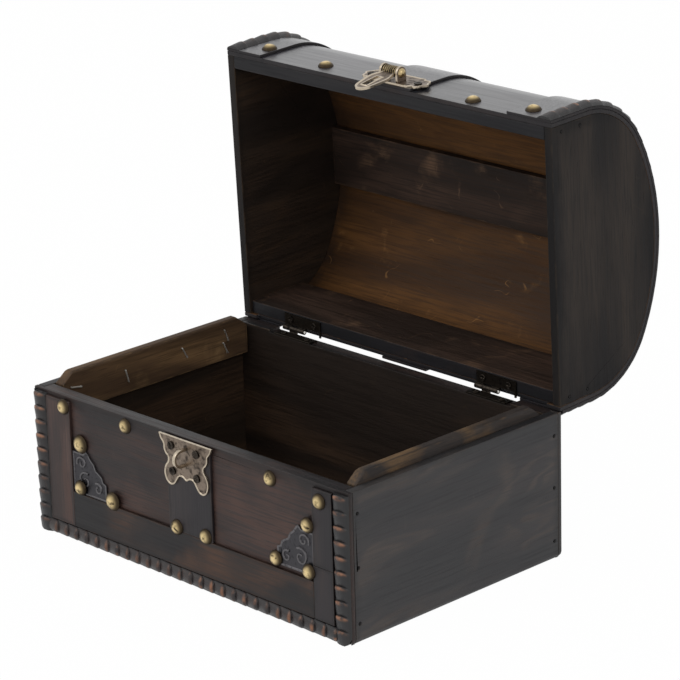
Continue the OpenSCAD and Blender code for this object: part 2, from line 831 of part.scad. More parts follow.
// ---- hasp on the lid ----

// the scalloped plate that the hasp turns on
module hasp_outline() {
    half = hasp_plate_half;
    difference() {
        polygon([
            [-half + 4, 1.4], [-half + 9, 0], [half - 9, 0], [half - 4, 1.4], [half - 1, 3.4], [half, 7.5],
            [half - 1, 11.6], [half - 4, 13.6], [half - 9, hasp_plate_h], [-half + 9, hasp_plate_h],
            [-half + 4, 13.6], [-half + 1, 11.6], [-half, 7.5], [-half + 1, 3.4]
        ]);
        for (s = [-1, 1], z = [-0.6, hasp_plate_h + 0.6]) translate([s * (half - 6.5), z]) circle(1.9);
    }
}

module hasp_plate() {
    color(bronze) opened() difference() {
        union() {
            translate([hasp_x, 0, hasp_plate_z]) on_front(band_y, plate_t) hasp_outline();
            for (s = [-1, 1]) {
                x0 = hasp_x + (s > 0 ? ear_x : -ear_x - ear_t);
                bar_x(ear_r, x0, x0 + ear_t, hasp_y, hasp_z);
                block([x0, hasp_y, hasp_z - ear_r + 0.2], [x0 + ear_t, band_y - plate_t / 2, hasp_z + ear_r]);
            }
        }
        bar_x(hasp_pin_r + fit, hasp_x - tongue_w, hasp_x + tongue_w, hasp_y, hasp_z);
        hasp_screw_holes();
    }
}

module hasp_screws() {
    color(bronze) opened() for (s = [-1, 1])
        translate([hasp_x + s * hasp_screw_x, plate_y, hasp_screw_z]) rotate([90, 0, 0])
            screw(screw_head_r, screw_head_h, screw_r, screw_l);
}

module hasp_screw_holes() {
    for (s = [-1, 1])
        bar_y(screw_r + fit, hasp_x + s * hasp_screw_x, plate_y - eps, plate_y + screw_l + fit, hasp_screw_z);
}

// the rivet through both ears and the tongue's barrel, with domed heads
module hasp_pin() {
    reach = ear_x + ear_t;
    ball = (pow(rivet_head_r, 2) + pow(rivet_head_h, 2)) / (2 * rivet_head_h);
    color(brass) opened() {
        bar_x(hasp_pin_r, hasp_x - reach - eps, hasp_x + reach + eps, hasp_y, hasp_z);
        for (s = [0, 1]) translate([hasp_x, hasp_y, hasp_z]) mirror([s, 0, 0])
            translate([reach, 0, 0]) rotate([0, 90, 0]) intersection() {
                translate([0, 0, rivet_head_h - ball]) sphere(ball);
                cylinder(r = rivet_head_r, h = rivet_head_h);
            }
    }
}

// the tongue's outline, hanging down from its pin at the origin
module tongue_outline() {
    neck = barrel_l / 2 - 0.1;
    half = tongue_w / 2;
    difference() {
        union() {
            polygon([
                [-neck, 0], [neck, 0], [neck, -5], [half, -8], [half, -11], [tip_r * 0.99, -tongue_l + tip_r],
                [-tip_r * 0.99, -tongue_l + tip_r], [-half, -11], [-half, -8], [-neck, -5]
            ]);
            translate([0, -tongue_l + tip_r]) circle(tip_r);
        }
        translate([-slot_w / 2, -slot_out]) square([slot_w, slot_out - slot_in]);
    }
}

module hasp_tongue() {
    color(bronze) opened() translate([hasp_x, hasp_y, hasp_z]) rotate([tongue_lean, 0, 0]) difference() {
        union() {
            on_front(tongue_t / 2, tongue_t) tongue_outline();
            bar_x(barrel_r, -barrel_l / 2, barrel_l / 2, 0, 0);
        }
        bar_x(hasp_pin_r + pin_clear, -barrel_l, barrel_l, 0, 0);
    }
}

bottom_panel();
front_panel();
back_panel();
left_end_panel();
right_end_panel();
left_lip_batten();
right_lip_batten();
batten_staples();
chest_brads();
left_stile();
bottom_strip();
right_stile_upper();
right_stile_lower();
centre_strap();
left_moulding();
bottom_moulding();
right_moulding();
left_ornament();
right_ornament();
front_studs();
front_large_studs();
catch_plate();
catch_staple();
catch_screws();
left_hinge_chest_leaf();
right_hinge_chest_leaf();
hinge_chest_screws();
left_hinge_pin();
right_hinge_pin();
lid_left_end();
lid_right_end();
lid_front_rail();
lid_back_rail();
lid_brads();
lid_dome();
lid_stiffener();
lid_left_band();
lid_centre_band();
lid_right_band();
lid_left_moulding();
lid_right_moulding();
lid_studs();
left_hinge_lid_leaf();
right_hinge_lid_leaf();
hinge_lid_screws();
hasp_plate();
hasp_screws();
hasp_pin();
hasp_tongue();
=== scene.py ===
"""The looks of a small wooden money chest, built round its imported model.

Lengths are in metres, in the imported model's own frame: X runs along the front,
the front faces -Y and Z is up. The lid stands open.
"""

import json
import logging
import math
import random
from contextlib import contextmanager
from dataclasses import dataclass, field, replace
from enum import Enum
from typing import Callable, Iterator, Sequence

import bmesh
import bpy
from mathutils import Matrix, Vector


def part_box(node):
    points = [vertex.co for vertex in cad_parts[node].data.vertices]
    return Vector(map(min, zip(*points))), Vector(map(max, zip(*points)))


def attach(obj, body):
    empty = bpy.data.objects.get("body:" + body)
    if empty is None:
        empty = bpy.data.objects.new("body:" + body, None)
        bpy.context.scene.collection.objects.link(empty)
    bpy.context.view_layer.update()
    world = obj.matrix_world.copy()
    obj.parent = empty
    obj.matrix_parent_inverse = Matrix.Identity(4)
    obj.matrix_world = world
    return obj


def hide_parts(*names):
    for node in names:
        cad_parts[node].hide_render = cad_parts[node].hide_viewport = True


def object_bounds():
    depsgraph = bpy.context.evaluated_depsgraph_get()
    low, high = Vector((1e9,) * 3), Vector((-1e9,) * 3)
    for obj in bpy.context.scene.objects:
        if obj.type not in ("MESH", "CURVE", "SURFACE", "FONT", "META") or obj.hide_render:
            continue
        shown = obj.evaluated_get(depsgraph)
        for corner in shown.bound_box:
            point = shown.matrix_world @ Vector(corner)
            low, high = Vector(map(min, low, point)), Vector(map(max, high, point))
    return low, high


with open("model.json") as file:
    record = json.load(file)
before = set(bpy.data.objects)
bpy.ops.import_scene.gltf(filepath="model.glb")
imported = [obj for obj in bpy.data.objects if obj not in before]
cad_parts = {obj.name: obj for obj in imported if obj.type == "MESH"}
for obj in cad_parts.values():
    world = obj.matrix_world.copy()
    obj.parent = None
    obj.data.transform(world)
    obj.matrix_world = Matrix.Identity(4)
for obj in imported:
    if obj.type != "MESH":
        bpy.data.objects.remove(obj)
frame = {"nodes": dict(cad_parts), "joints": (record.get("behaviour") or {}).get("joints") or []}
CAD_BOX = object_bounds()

log = logging.getLogger("money_chest")

MM = 0.001
WELD = 0.005 * MM  # points nearer than this are one point
NEAR = 0.01 * MM  # points nearer than this to a line or plane lie on it
HAIR = 0.02 * MM  # the same, for points that an operator has moved
TINY = 1e-7  # a length below this is nothing
FLAT = math.radians(0.3)  # faces that differ by less than this are one face
LIP = "lip"  # the attribute that says how rubbed each point of a carving is; on a stud it places a painted highlight on the crown and painted shade round the foot
TO_FRONT = Matrix.Rotation(math.pi / 2, 4, "X")  # turns a flat piece's top to the front

Colour = tuple[float, float, float]
Point = tuple[float, float]
Piece = bpy.types.Object
Material = bpy.types.Material
Node = bpy.types.Node
Socket = bpy.types.NodeSocket


class Body(Enum):
    """The rigid bodies that a piece can ride on."""

    CHEST = "chest"
    LID = "lid"
    TONGUE = "tongue"


class Slot(Enum):
    """The finishes that the part's record names."""

    WALNUT = "walnut_stain"
    AMBER = "amber_wood"
    BRONZE = "antique_bronze"
    BRASS = "antique_brass"
    PEWTER = "dark_pewter"
    STEEL = "plain_steel"
    IRON = "black_iron"


class Part(Enum):
    """What an edit-mode selection is made of."""

    VERTS = "verts"
    EDGES = "edges"
    FACES = "faces"


class Grain(Enum):
    """The direction that a board's fibres run in, on the closed chest."""

    ALONG = (0.18, 1.0, 1.0)
    DEEP = (1.0, 0.18, 1.0)
    UPRIGHT = (1.0, 1.0, 0.18)


def joint_of(name: str) -> dict:
    """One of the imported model's joints, by its name."""
    return next(joint for joint in frame["joints"] if joint["name"] == name)


@dataclass(frozen=True)
class LidHinge:
    """Where the lid turns, and how far it stands open at rest."""

    pin: Vector
    angle: float

    @classmethod
    def of_frame(cls) -> "LidHinge":
        """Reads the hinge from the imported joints."""
        joint = joint_of("lid_hinge")
        return cls(Vector(joint["pos_m"]), math.radians(joint["range_deg"][1]))

    def closing(self) -> Matrix:
        """The matrix that carries the open lid shut."""
        turn = Matrix.Rotation(self.angle, 4, "X")
        return Matrix.Translation(self.pin) @ turn @ Matrix.Translation(-self.pin)

    def opening(self) -> Matrix:
        """The matrix that carries the closed lid to its stop."""
        return self.closing().inverted()


HINGE = LidHinge.of_frame()


# ---- modelling by operators ----


def select_only(piece: Piece) -> None:
    """Makes one object the only selected one, and active.

    Args:
        piece: The object to work on.
    """
    bpy.ops.object.select_all(action="DESELECT")
    piece.select_set(True)
    bpy.context.view_layer.objects.active = piece


@contextmanager
def editing(piece: Piece) -> Iterator[None]:
    """Opens a mesh in edit mode with all of it selected, and closes it afterwards.

    Args:
        piece: The mesh object to shape.
    """
    select_only(piece)
    bpy.ops.object.mode_set(mode="EDIT")
    bpy.context.tool_settings.mesh_select_mode = (True, False, False)
    bpy.ops.mesh.select_all(action="SELECT")
    yield
    bpy.ops.object.mode_set(mode="OBJECT")


def pick(piece: Piece, part: Part, test: Callable[..., bool]) -> int:
    """Selects, in edit mode, only the elements that pass a test.

    Args:
        piece: The mesh object being edited.
        part: The kind of element to pick.
        test: Is given each element, and says whether it is picked.

    Returns:
        How many elements were picked.
    """
    modes = tuple(part is kind for kind in (Part.VERTS, Part.EDGES, Part.FACES))
    bpy.context.tool_settings.mesh_select_mode = modes
    bpy.ops.mesh.select_all(action="DESELECT")
    mesh = bmesh.from_edit_mesh(piece.data)
    chosen = [element for element in getattr(mesh, part.value) if test(element)]
    for element in chosen:
        element.select_set(True)
    bmesh.update_edit_mesh(piece.data)
    return len(chosen)


def pick_rim(piece: Piece, x: float) -> None:
    """Selects, in edit mode, the open edges that lie square to the X axis at one place.

    Args:
        piece: The mesh object being edited.
        x: Where the edges lie.
    """
    pick(piece, Part.EDGES, lambda edge: edge.is_boundary
         and all(abs(vertex.co.x - x) < NEAR for vertex in edge.verts))


def extrude(x: float = 0.0, z: float = 0.0) -> None:
    """Extrudes, in edit mode, what is selected."""
    bpy.ops.mesh.extrude_region_move(TRANSFORM_OT_translate={"value": (x, 0.0, z)})


def apply_modifier(piece: Piece, kind: str, **settings: object) -> None:
    """Adds one modifier to a piece and applies it.

    Args:
        piece: The mesh object.
        kind: The modifier's type.
        **settings: The modifier's own settings.
    """
    select_only(piece)
    modifier = piece.modifiers.new(kind.title(), kind)
    for key, value in settings.items():
        setattr(modifier, key, value)
    bpy.ops.object.modifier_apply(modifier=modifier.name)


def apply_place(piece: Piece) -> None:
    """Writes a piece's place, turn and scale into its mesh."""
    select_only(piece)
    bpy.ops.object.transform_apply(location=True, rotation=True, scale=True)


def settle(piece: Piece, matrix: Matrix) -> None:
    """Moves a piece to its place and writes that place into its mesh.

    Args:
        piece: The object, still at the origin.
        matrix: Carries the piece to its place.
    """
    piece.matrix_world = matrix
    apply_place(piece)


def outward(piece: Piece) -> None:
    """Turns every face of a closed piece outwards."""
    with editing(piece):
        bpy.ops.mesh.normals_make_consistent(inside=False)


def smooth(piece: Piece, degrees: float = 32.0) -> None:
    """Shades a piece smooth across edges flatter than an angle."""
    select_only(piece)
    bpy.ops.object.shade_smooth_by_angle(angle=math.radians(degrees))


def new_object(name: str, data: bpy.types.ID) -> Piece:
    """Puts data in the scene as a new object.

    Args:
        name: The object's name.
        data: A mesh, curve, camera or lamp.

    Returns:
        The object, at the origin.
    """
    piece = bpy.data.objects.new(name, data)
    bpy.context.scene.collection.objects.link(piece)
    return piece


def as_mesh(piece: Piece) -> Piece:
    """Turns a curve object into a mesh object.

    Args:
        piece: The curve object.

    Returns:
        The mesh object.
    """
    select_only(piece)
    bpy.ops.object.convert(target="MESH")
    return bpy.context.active_object


def merged_copy(node: str, name: str) -> Piece:
    """Copies a CAD node's mesh, with its loose triangles merged into clean faces.

    Args:
        node: The CAD node.
        name: The new piece's name.

    Returns:
        The new object, in the node's place.
    """
    piece = new_object(name, frame["nodes"][node].data.copy())
    piece.data.name = name
    piece.data.materials.clear()
    select_only(piece)
    bpy.ops.mesh.customdata_custom_splitnormals_clear()
    with editing(piece):
        bpy.ops.mesh.remove_doubles(threshold=WELD)
        bpy.ops.mesh.dissolve_limited(angle_limit=FLAT)
    return piece


def soften(piece: Piece, width: float, segments: int = 2, clamp: bool = False) -> None:
    """Rounds the sharp edges of a piece.

    Args:
        piece: The mesh object.
        width: How far each edge is rounded, in metres.
        segments: How many facets a rounded edge has.
        clamp: Whether edges close together are rounded less.
    """
    apply_modifier(
        piece, "BEVEL", width=width, segments=segments, limit_method="ANGLE",
        angle_limit=math.radians(40), use_clamp_overlap=clamp,
    )
    smooth(piece)
    apply_modifier(piece, "WEIGHTED_NORMAL", keep_sharp=True, weight=100)


def mark_lip(piece: Piece, share: Callable[[Vector], float]) -> None:
    """Writes a value from 0 to 1 at each point of a piece: how rubbed a carving is there, and on a stud how
    much painted crown highlight it has against painted shade.

    Args:
        piece: The mesh object.
        share: Gives the amount at a point.
    """
    layer = piece.data.attributes.new(LIP, "FLOAT", "POINT")
    for vertex, value in zip(piece.data.vertices, layer.data):
        value.value = min(1.0, max(0.0, share(vertex.co)))


def join(pieces: Sequence[Piece], name: str) -> Piece:
    """Joins several objects into one and names it.

    Args:
        pieces: The objects; the first one keeps its settings.
        name: The name of the result.

    Returns:
        The joined object.
    """
    select_only(pieces[0])
    for piece in pieces[1:]:
        piece.select_set(True)
    if len(pieces) > 1:
        bpy.ops.object.join()
    pieces[0].name = name
    pieces[0].data.name = name
    return pieces[0]


def solids_of(node: str, turn: Matrix) -> list[tuple[Vector, Vector]]:
    """Finds the separate solids of a CAD node.

    Args:
        node: The CAD node.
        turn: Carries the node to the frame that the corners are wanted in.

    Returns:
        The lowest and highest corner of each solid, from left to right.
    """
    scratch = merged_copy(node, "scratch")
    with editing(scratch):
        bpy.ops.mesh.separate(type="LOOSE")
    boxes = []
    for solid in list(bpy.context.selected_objects):
        boxes.append(span([turn @ vertex.co for vertex in solid.data.vertices]))
        bpy.data.objects.remove(solid)
    return sorted(boxes, key=lambda box: tuple(box[0]))


def span(points: Sequence[Vector]) -> tuple[Vector, Vector]:
    """Finds the box round some points.

    Args:
        points: The points.

    Returns:
        The lowest and the highest corner.
    """
    low = Vector(min(point[i] for point in points) for i in range(3))
    high = Vector(max(point[i] for point in points) for i in range(3))
    return low, high


def turn_of(body: Body) -> Matrix:
    """The matrix that carries a body's resting pieces to the closed chest."""
    return Matrix.Identity(4) if body is Body.CHEST else HINGE.closing()


def node_box(node: str, body: Body) -> tuple[Vector, Vector]:
    """A CAD node's lowest and highest corner on the closed chest."""
    turn = turn_of(body)
    return span([turn @ vertex.co for vertex in frame["nodes"][node].data.vertices])


def edgewise(x: float, y: float, z: float) -> Matrix:
    """The matrix that stands a flat plate on edge: its X axis up, its Y axis to the front, facing +X."""
    return Matrix(((0, 0, 1, x), (0, -1, 0, y), (1, 0, 0, z), (0, 0, 0, 1)))


def outline_plate(name: str, outlines: Sequence[Sequence[Point]], sharp: set[Point],
                  thickness: float) -> Piece:
    """Cuts a flat plate to smooth outlines, with its back on the XY plane.

    Args:
        name: The piece's name.
        outlines: The rim first, then any hole, each as points in metres.
        sharp: The points that stay sharp corners.
        thickness: The plate's thickness.

    Returns:
        The plate as a mesh, its front in one or two faces.
    """
    curve = bpy.data.curves.new(name, "CURVE")
    curve.dimensions = "2D"
    curve.fill_mode = "BOTH"
    curve.resolution_u = 5
    for outline in outlines:
        spline = curve.splines.new("BEZIER")
        spline.bezier_points.add(len(outline) - 1)
        spline.use_cyclic_u = True
        for knot, point in zip(spline.bezier_points, outline):
            knot.co = (*point, 0.0)
            kind = "VECTOR" if point in sharp else "AUTO"
            knot.handle_left_type = kind
            knot.handle_right_type = kind
    plate = as_mesh(new_object(name, curve))
    with editing(plate):
        bpy.ops.mesh.remove_doubles(threshold=0.06 * MM)
        bpy.ops.mesh.dissolve_limited(angle_limit=FLAT, use_dissolve_boundaries=False)
        bpy.ops.mesh.select_all(action="SELECT")
        extrude(z=thickness)
    outward(plate)
    return plate


def sink_face(plate: Piece, is_front: Callable[..., bool], rim: float, depth: float,
              even: bool = False) -> None:
    """Sinks the middle of a plate's front, and gives what is sunk the second material slot.

    Args:
        plate: The plate.
        is_front: Is given each face, and says whether it is the front.
        rim: The width of the rim left round the middle.
        depth: How far the middle is sunk.
        even: Whether the rim keeps its width round corners.
    """
    with editing(plate):
        pick(plate, Part.FACES, is_front)
        bpy.ops.mesh.inset(thickness=rim, depth=0.0, use_even_offset=even)
        bpy.ops.mesh.inset(thickness=depth, depth=-depth, use_even_offset=even)
        sunk = {face.index for face in bmesh.from_edit_mesh(plate.data).faces if face.select}
    for index, face in enumerate(plate.data.polygons):
        face.material_index = int(index in sunk)


@dataclass(frozen=True)
class Casting:
    """The shape of a cast plate's front: a raised rim, a sunk middle and soft edges."""

    thickness: float
    rim: float
    sunk: float = 0.22 * MM
    edge: float = 0.22 * MM

    def plate(self, name: str, outlines: Sequence[Sequence[Point]], sharp: set[Point]) -> Piece:
        """Casts a plate, with its back on the XY plane.

        Args:
            name: The piece's name.
            outlines: The rim first, then any hole, each as points in metres.
            sharp: The points that stay sharp corners.

        Returns:
            The plate, its sunk face in the second material slot.
        """
        piece = outline_plate(name, outlines, sharp, self.thickness)
        level = self.thickness - HAIR

        def on_top(face: bmesh.types.BMFace) -> bool:
            """Whether a face is on the plate's front."""
            return face.normal.z > 0.99 and face.calc_center_median().z > level

        sink_face(piece, on_top, self.rim, self.sunk)
        soften(piece, self.edge, clamp=True)
        return piece


# ---- materials ----


def linear(red: int, green: int, blue: int) -> Colour:
    """Turns a screen colour into linear light.

    Args:
        red: The red channel, 0 to 255.
        green: The green channel.
        blue: The blue channel.

    Returns:
        The three channels, 0 to 1.
    """
    return tuple(
        (c / 255 / 12.92) if c <= 10 else ((c / 255 + 0.055) / 1.055) ** 2.4 for c in (red, green, blue)
    )


class Tree:
    """Adds nodes to a node tree, each with its inputs set or linked in one call."""

    def __init__(self, tree: bpy.types.NodeTree) -> None:
        """Starts on an empty tree.

        Args:
            tree: The node tree to fill.
        """
        self.tree = tree
        tree.nodes.clear()

    def fill(self, node: Node, inputs: dict) -> None:
        """Sets or links inputs of a node.

        Args:
            node: A node of this tree.
            inputs: Values or sockets, by the input's name or number.
        """
        for key, value in inputs.items():
            socket = node.inputs[key]
            if isinstance(value, Socket):
                self.tree.links.new(value, socket)
            elif socket.type == "RGBA":
                socket.default_value = (*value, 1.0)
            else:
                socket.default_value = value

    def add(self, kind: str, inputs: dict | None = None, **settings: object) -> Node:
        """Adds one node.

        Args:
            kind: The node's type, without its prefix.
            inputs: Values or sockets, by the input's name or number.
            **settings: The node's own settings.

        Returns:
            The new node.
        """
        node = self.tree.nodes.new(kind if kind.startswith("Node") else f"ShaderNode{kind}")
        for key, value in settings.items():
            setattr(node, key, value)
        self.fill(node, inputs or {})
        return node

    def maths(self, operation: str, *values: object) -> Socket:
        """Adds a math node and returns its result."""
        return self.add("Math", dict(enumerate(values)), operation=operation).outputs[0]

    def vectors(self, operation: str, *values: object) -> Socket:
        """Adds a vector math node and returns its vector."""
        return self.add("VectorMath", dict(enumerate(values)), operation=operation).outputs[0]

    def noise(self, vector: Socket, scale: object, detail: float = 3.0, distortion: float = 0.0) -> Socket:
        """Adds a noise texture and returns its value."""
        inputs = {"Vector": vector, "Scale": scale, "Detail": detail, "Distortion": distortion}
        return self.add("TexNoise", inputs).outputs["Fac"]

    def spread(self, value: Socket, low: object, high: object, start: float = 0.0,
               end: float = 1.0) -> Socket:
        """Maps a value smoothly from low-high to start-end."""
        inputs = {"Value": value, "From Min": low, "From Max": high, "To Min": start, "To Max": end}
        return self.add("MapRange", inputs, interpolation_type="SMOOTHSTEP").outputs["Result"]

    def blend(self, factor: object, first: object, second: object) -> Socket:
        """Mixes two colours and returns the result."""
        return self.add("Mix", {0: factor, 6: first, 7: second}, data_type="RGBA").outputs[2]


class Effect:
    """A shading effect that several materials share: a node group, built once."""

    _built: dict[str, bpy.types.NodeTree] = {}

    def __init__(self, name: str, inputs: dict[str, object], outputs: Sequence[str],
                 wire: Callable[[Tree, Node], dict[str, Socket]]) -> None:
        """Names the effect and its sockets.

        Args:
            name: The node group's name.
            inputs: Each input's start value; a tuple makes a vector input.
            outputs: The names of the values that it puts out.
            wire: Adds the nodes and returns the socket behind each output.
        """
        self.name = name
        self.inputs = inputs
        self.outputs = outputs
        self.wire = wire

    def group(self) -> bpy.types.NodeTree:
        """Finds the node group, and makes it on first use.

        Returns:
            The group's tree, with its sockets and its nodes.
        """
        if self.name not in self._built:
            group = bpy.data.node_groups.new(self.name, "ShaderNodeTree")
            for label, value in self.inputs.items():
                kind = "NodeSocketVector" if isinstance(value, tuple) else "NodeSocketFloat"
                socket = group.interface.new_socket(name=label, in_out="INPUT", socket_type=kind)
                socket.default_value = value
            for label in self.outputs:
                group.interface.new_socket(name=label, in_out="OUTPUT", socket_type="NodeSocketFloat")
            tree = Tree(group)
            results = self.wire(tree, tree.add("NodeGroupInput"))
            tree.add("NodeGroupOutput", results)
            self._built[self.name] = group
        return self._built[self.name]

    def use(self, tree: Tree, **inputs: object) -> Node:
        """Places the effect in a material, with values or sockets by input name."""
        return tree.add("Group", inputs, node_tree=self.group())


ORIGIN = (0.0, 0.0, 0.0)
HALF = (0.5, 0.5, 0.5)


def _wire_edges(tree: Tree, given: Node) -> dict[str, Socket]:
    """Wires a mask that is 1 along the edges of a box and fades over a ragged width.

    Args:
        tree: The effect's own tree.
        given: The effect's input node.

    Returns:
        The socket behind each output.
    """
    place, low, high = (given.outputs[label] for label in ("Vector", "Low", "High"))
    middle = tree.vectors("MULTIPLY", tree.vectors("ADD", low, high), HALF)
    reach = tree.vectors("MULTIPLY", tree.vectors("SUBTRACT", high, low), HALF)
    away = tree.vectors("ABSOLUTE", tree.vectors("SUBTRACT", place, middle))
    x, y, z = tree.add("SeparateXYZ", {0: tree.vectors("SUBTRACT", away, reach)}).outputs
    # On an edge two of the three are 0, so the middle one tells how near an edge is.
    second = tree.maths(
        "MAXIMUM", tree.maths("MINIMUM", x, y), tree.maths("MINIMUM", tree.maths("MAXIMUM", x, y), z)
    )
    ragged = tree.maths("SUBTRACT", tree.noise(place, scale=140.0, detail=4.0), 0.5)
    wander = tree.maths("MULTIPLY", ragged, given.outputs["Ragged"])
    distance = tree.maths("SUBTRACT", wander, second)
    return {"Mask": tree.spread(distance, 0.0, given.outputs["Width"], start=1.0, end=0.0)}


def _wire_figure(tree: Tree, given: Node) -> dict[str, Socket]:
    """Wires the clouds, the figure, the fibres and the pores of stained wood.

    Args:
        tree: The effect's own tree.
        given: The effect's input node.

    Returns:
        The socket behind each output.
    """
    moved = tree.vectors("ADD", given.outputs["Vector"], given.outputs["Shift"])
    drawn = tree.vectors("MULTIPLY", moved, given.outputs["Reach"])
    cloud = tree.noise(drawn, scale=38.0, detail=3.0, distortion=0.3)
    broad = tree.noise(drawn, scale=60.0, detail=2.0, distortion=0.8)
    rings = tree.maths("SINE", tree.maths("MULTIPLY", broad, 38.0))
    figure = tree.maths("MULTIPLY", tree.spread(rings, -0.6, 1.2), tree.spread(cloud, 0.42, 0.62))
    long = tree.vectors("MULTIPLY", drawn, given.outputs["Reach"])
    fibre = tree.noise(long, scale=1000.0, detail=4.0)
    pores = tree.spread(tree.noise(long, scale=2400.0, detail=1.0), 0.60, 0.72)
    return {"Cloud": cloud, "Figure": figure, "Fibre": fibre, "Pores": pores}


def _wire_patches(tree: Tree, given: Node) -> dict[str, Socket]:
    """Wires blotches that cover a share of the surface.

    Args:
        tree: The effect's own tree.
        given: The effect's input node.

    Returns:
        The socket behind each output.
    """
    blotch = tree.noise(given.outputs["Vector"], given.outputs["Scale"], detail=5.0, distortion=0.4)
    edge = tree.maths("SUBTRACT", 0.78, tree.maths("MULTIPLY", given.outputs["Amount"], 0.55))
    return {"Mask": tree.spread(blotch, edge, tree.maths("ADD", edge, given.outputs["Soft"]))}


def _wire_scratches(tree: Tree, given: Node) -> dict[str, Socket]:
    """Wires thin curved scratches that come and go over the surface.

    Args:
        tree: The effect's own tree.
        given: The effect's input node.

    Returns:
        The socket behind each output.
    """
    bent = tree.noise(given.outputs["Vector"], scale=34.0, detail=1.5, distortion=1.2)
    line = tree.maths("ABSOLUTE", tree.maths("SUBTRACT", bent, 0.5))
    thin = tree.spread(line, 0.0, 0.006, start=1.0, end=0.0)
    here = tree.spread(tree.noise(given.outputs["Vector"], scale=90.0), 0.54, 0.66)
    return {"Mask": tree.maths("MULTIPLY", tree.maths("MULTIPLY", thin, here), given.outputs["Amount"])}


def _wire_hammered(tree: Tree, given: Node) -> dict[str, Socket]:
    """Wires the dimples and pits of cast and hammered metal.

    Args:
        tree: The effect's own tree.
        given: The effect's input node.

    Returns:
        The socket behind each output.
    """
    place = given.outputs["Vector"]
    shape = {"Vector": place, "Scale": 700.0, "Smoothness": 0.6}
    cells = tree.add("TexVoronoi", shape, feature="SMOOTH_F1")
    rough = tree.noise(place, scale=1500.0, detail=4.0)
    height = tree.maths("MULTIPLY_ADD", rough, 0.5, cells.outputs["Distance"])
    pits = tree.spread(tree.noise(place, scale=620.0), 0.55, 0.7)
    return {"Height": height, "Pits": pits}


EDGES = Effect(
    "burnt_edges", {"Vector": ORIGIN, "Low": ORIGIN, "High": ORIGIN, "Width": 5 * MM, "Ragged": 3 * MM},
    ("Mask",), _wire_edges,
)
FIGURE = Effect(
    "wood_figure", {"Vector": ORIGIN, "Reach": Grain.ALONG.value, "Shift": ORIGIN},
    ("Cloud", "Figure", "Fibre", "Pores"), _wire_figure,
)
PATCHES = Effect(
    "worn_patches", {"Vector": ORIGIN, "Scale": 40.0, "Amount": 0.4, "Soft": 0.15}, ("Mask",), _wire_patches
)
SCRATCHES = Effect("fine_scratches", {"Vector": ORIGIN, "Amount": 0.5}, ("Mask",), _wire_scratches)
HAMMERED = Effect("hammered_metal", {"Vector": ORIGIN}, ("Height", "Pits"), _wire_hammered)


class Surface:
    """A new material with its coordinates on the closed chest and its shader."""

    def __init__(self, name: str, body: Body) -> None:
        """Starts the material.

        Args:
            name: The material's name.
            body: The body that wears it; a lid's coordinates are turned shut.
        """
        self.material = bpy.data.materials.new(name)
        self.material.use_nodes = True
        self.tree = Tree(self.material.node_tree)
        place = self.tree.add("TexCoord").outputs["Object"]
        if body is not Body.CHEST:
            shut = HINGE.closing()
            mapping = {"Vector": place, "Location": shut.to_translation(), "Rotation": shut.to_euler()}
            place = self.tree.add("Mapping", mapping).outputs["Vector"]
        self.place = place
        self.shader = self.tree.add("BsdfPrincipled")
        self.tree.add("OutputMaterial", {"Surface": self.shader.outputs[0]})

    def feed(self, **inputs: object) -> None:
        """Sets or links sockets of the shader, by name with _ for a space."""
        self.tree.fill(self.shader, {label.replace("_", " "): value for label, value in inputs.items()})

    def bump(self, height: Socket, strength: float, distance: float) -> None:
        """Roughens the surface by a height."""
        inputs = {"Strength": strength, "Distance": distance, "Height": height}
        self.feed(Normal=self.tree.add("Bump", inputs).outputs["Normal"])


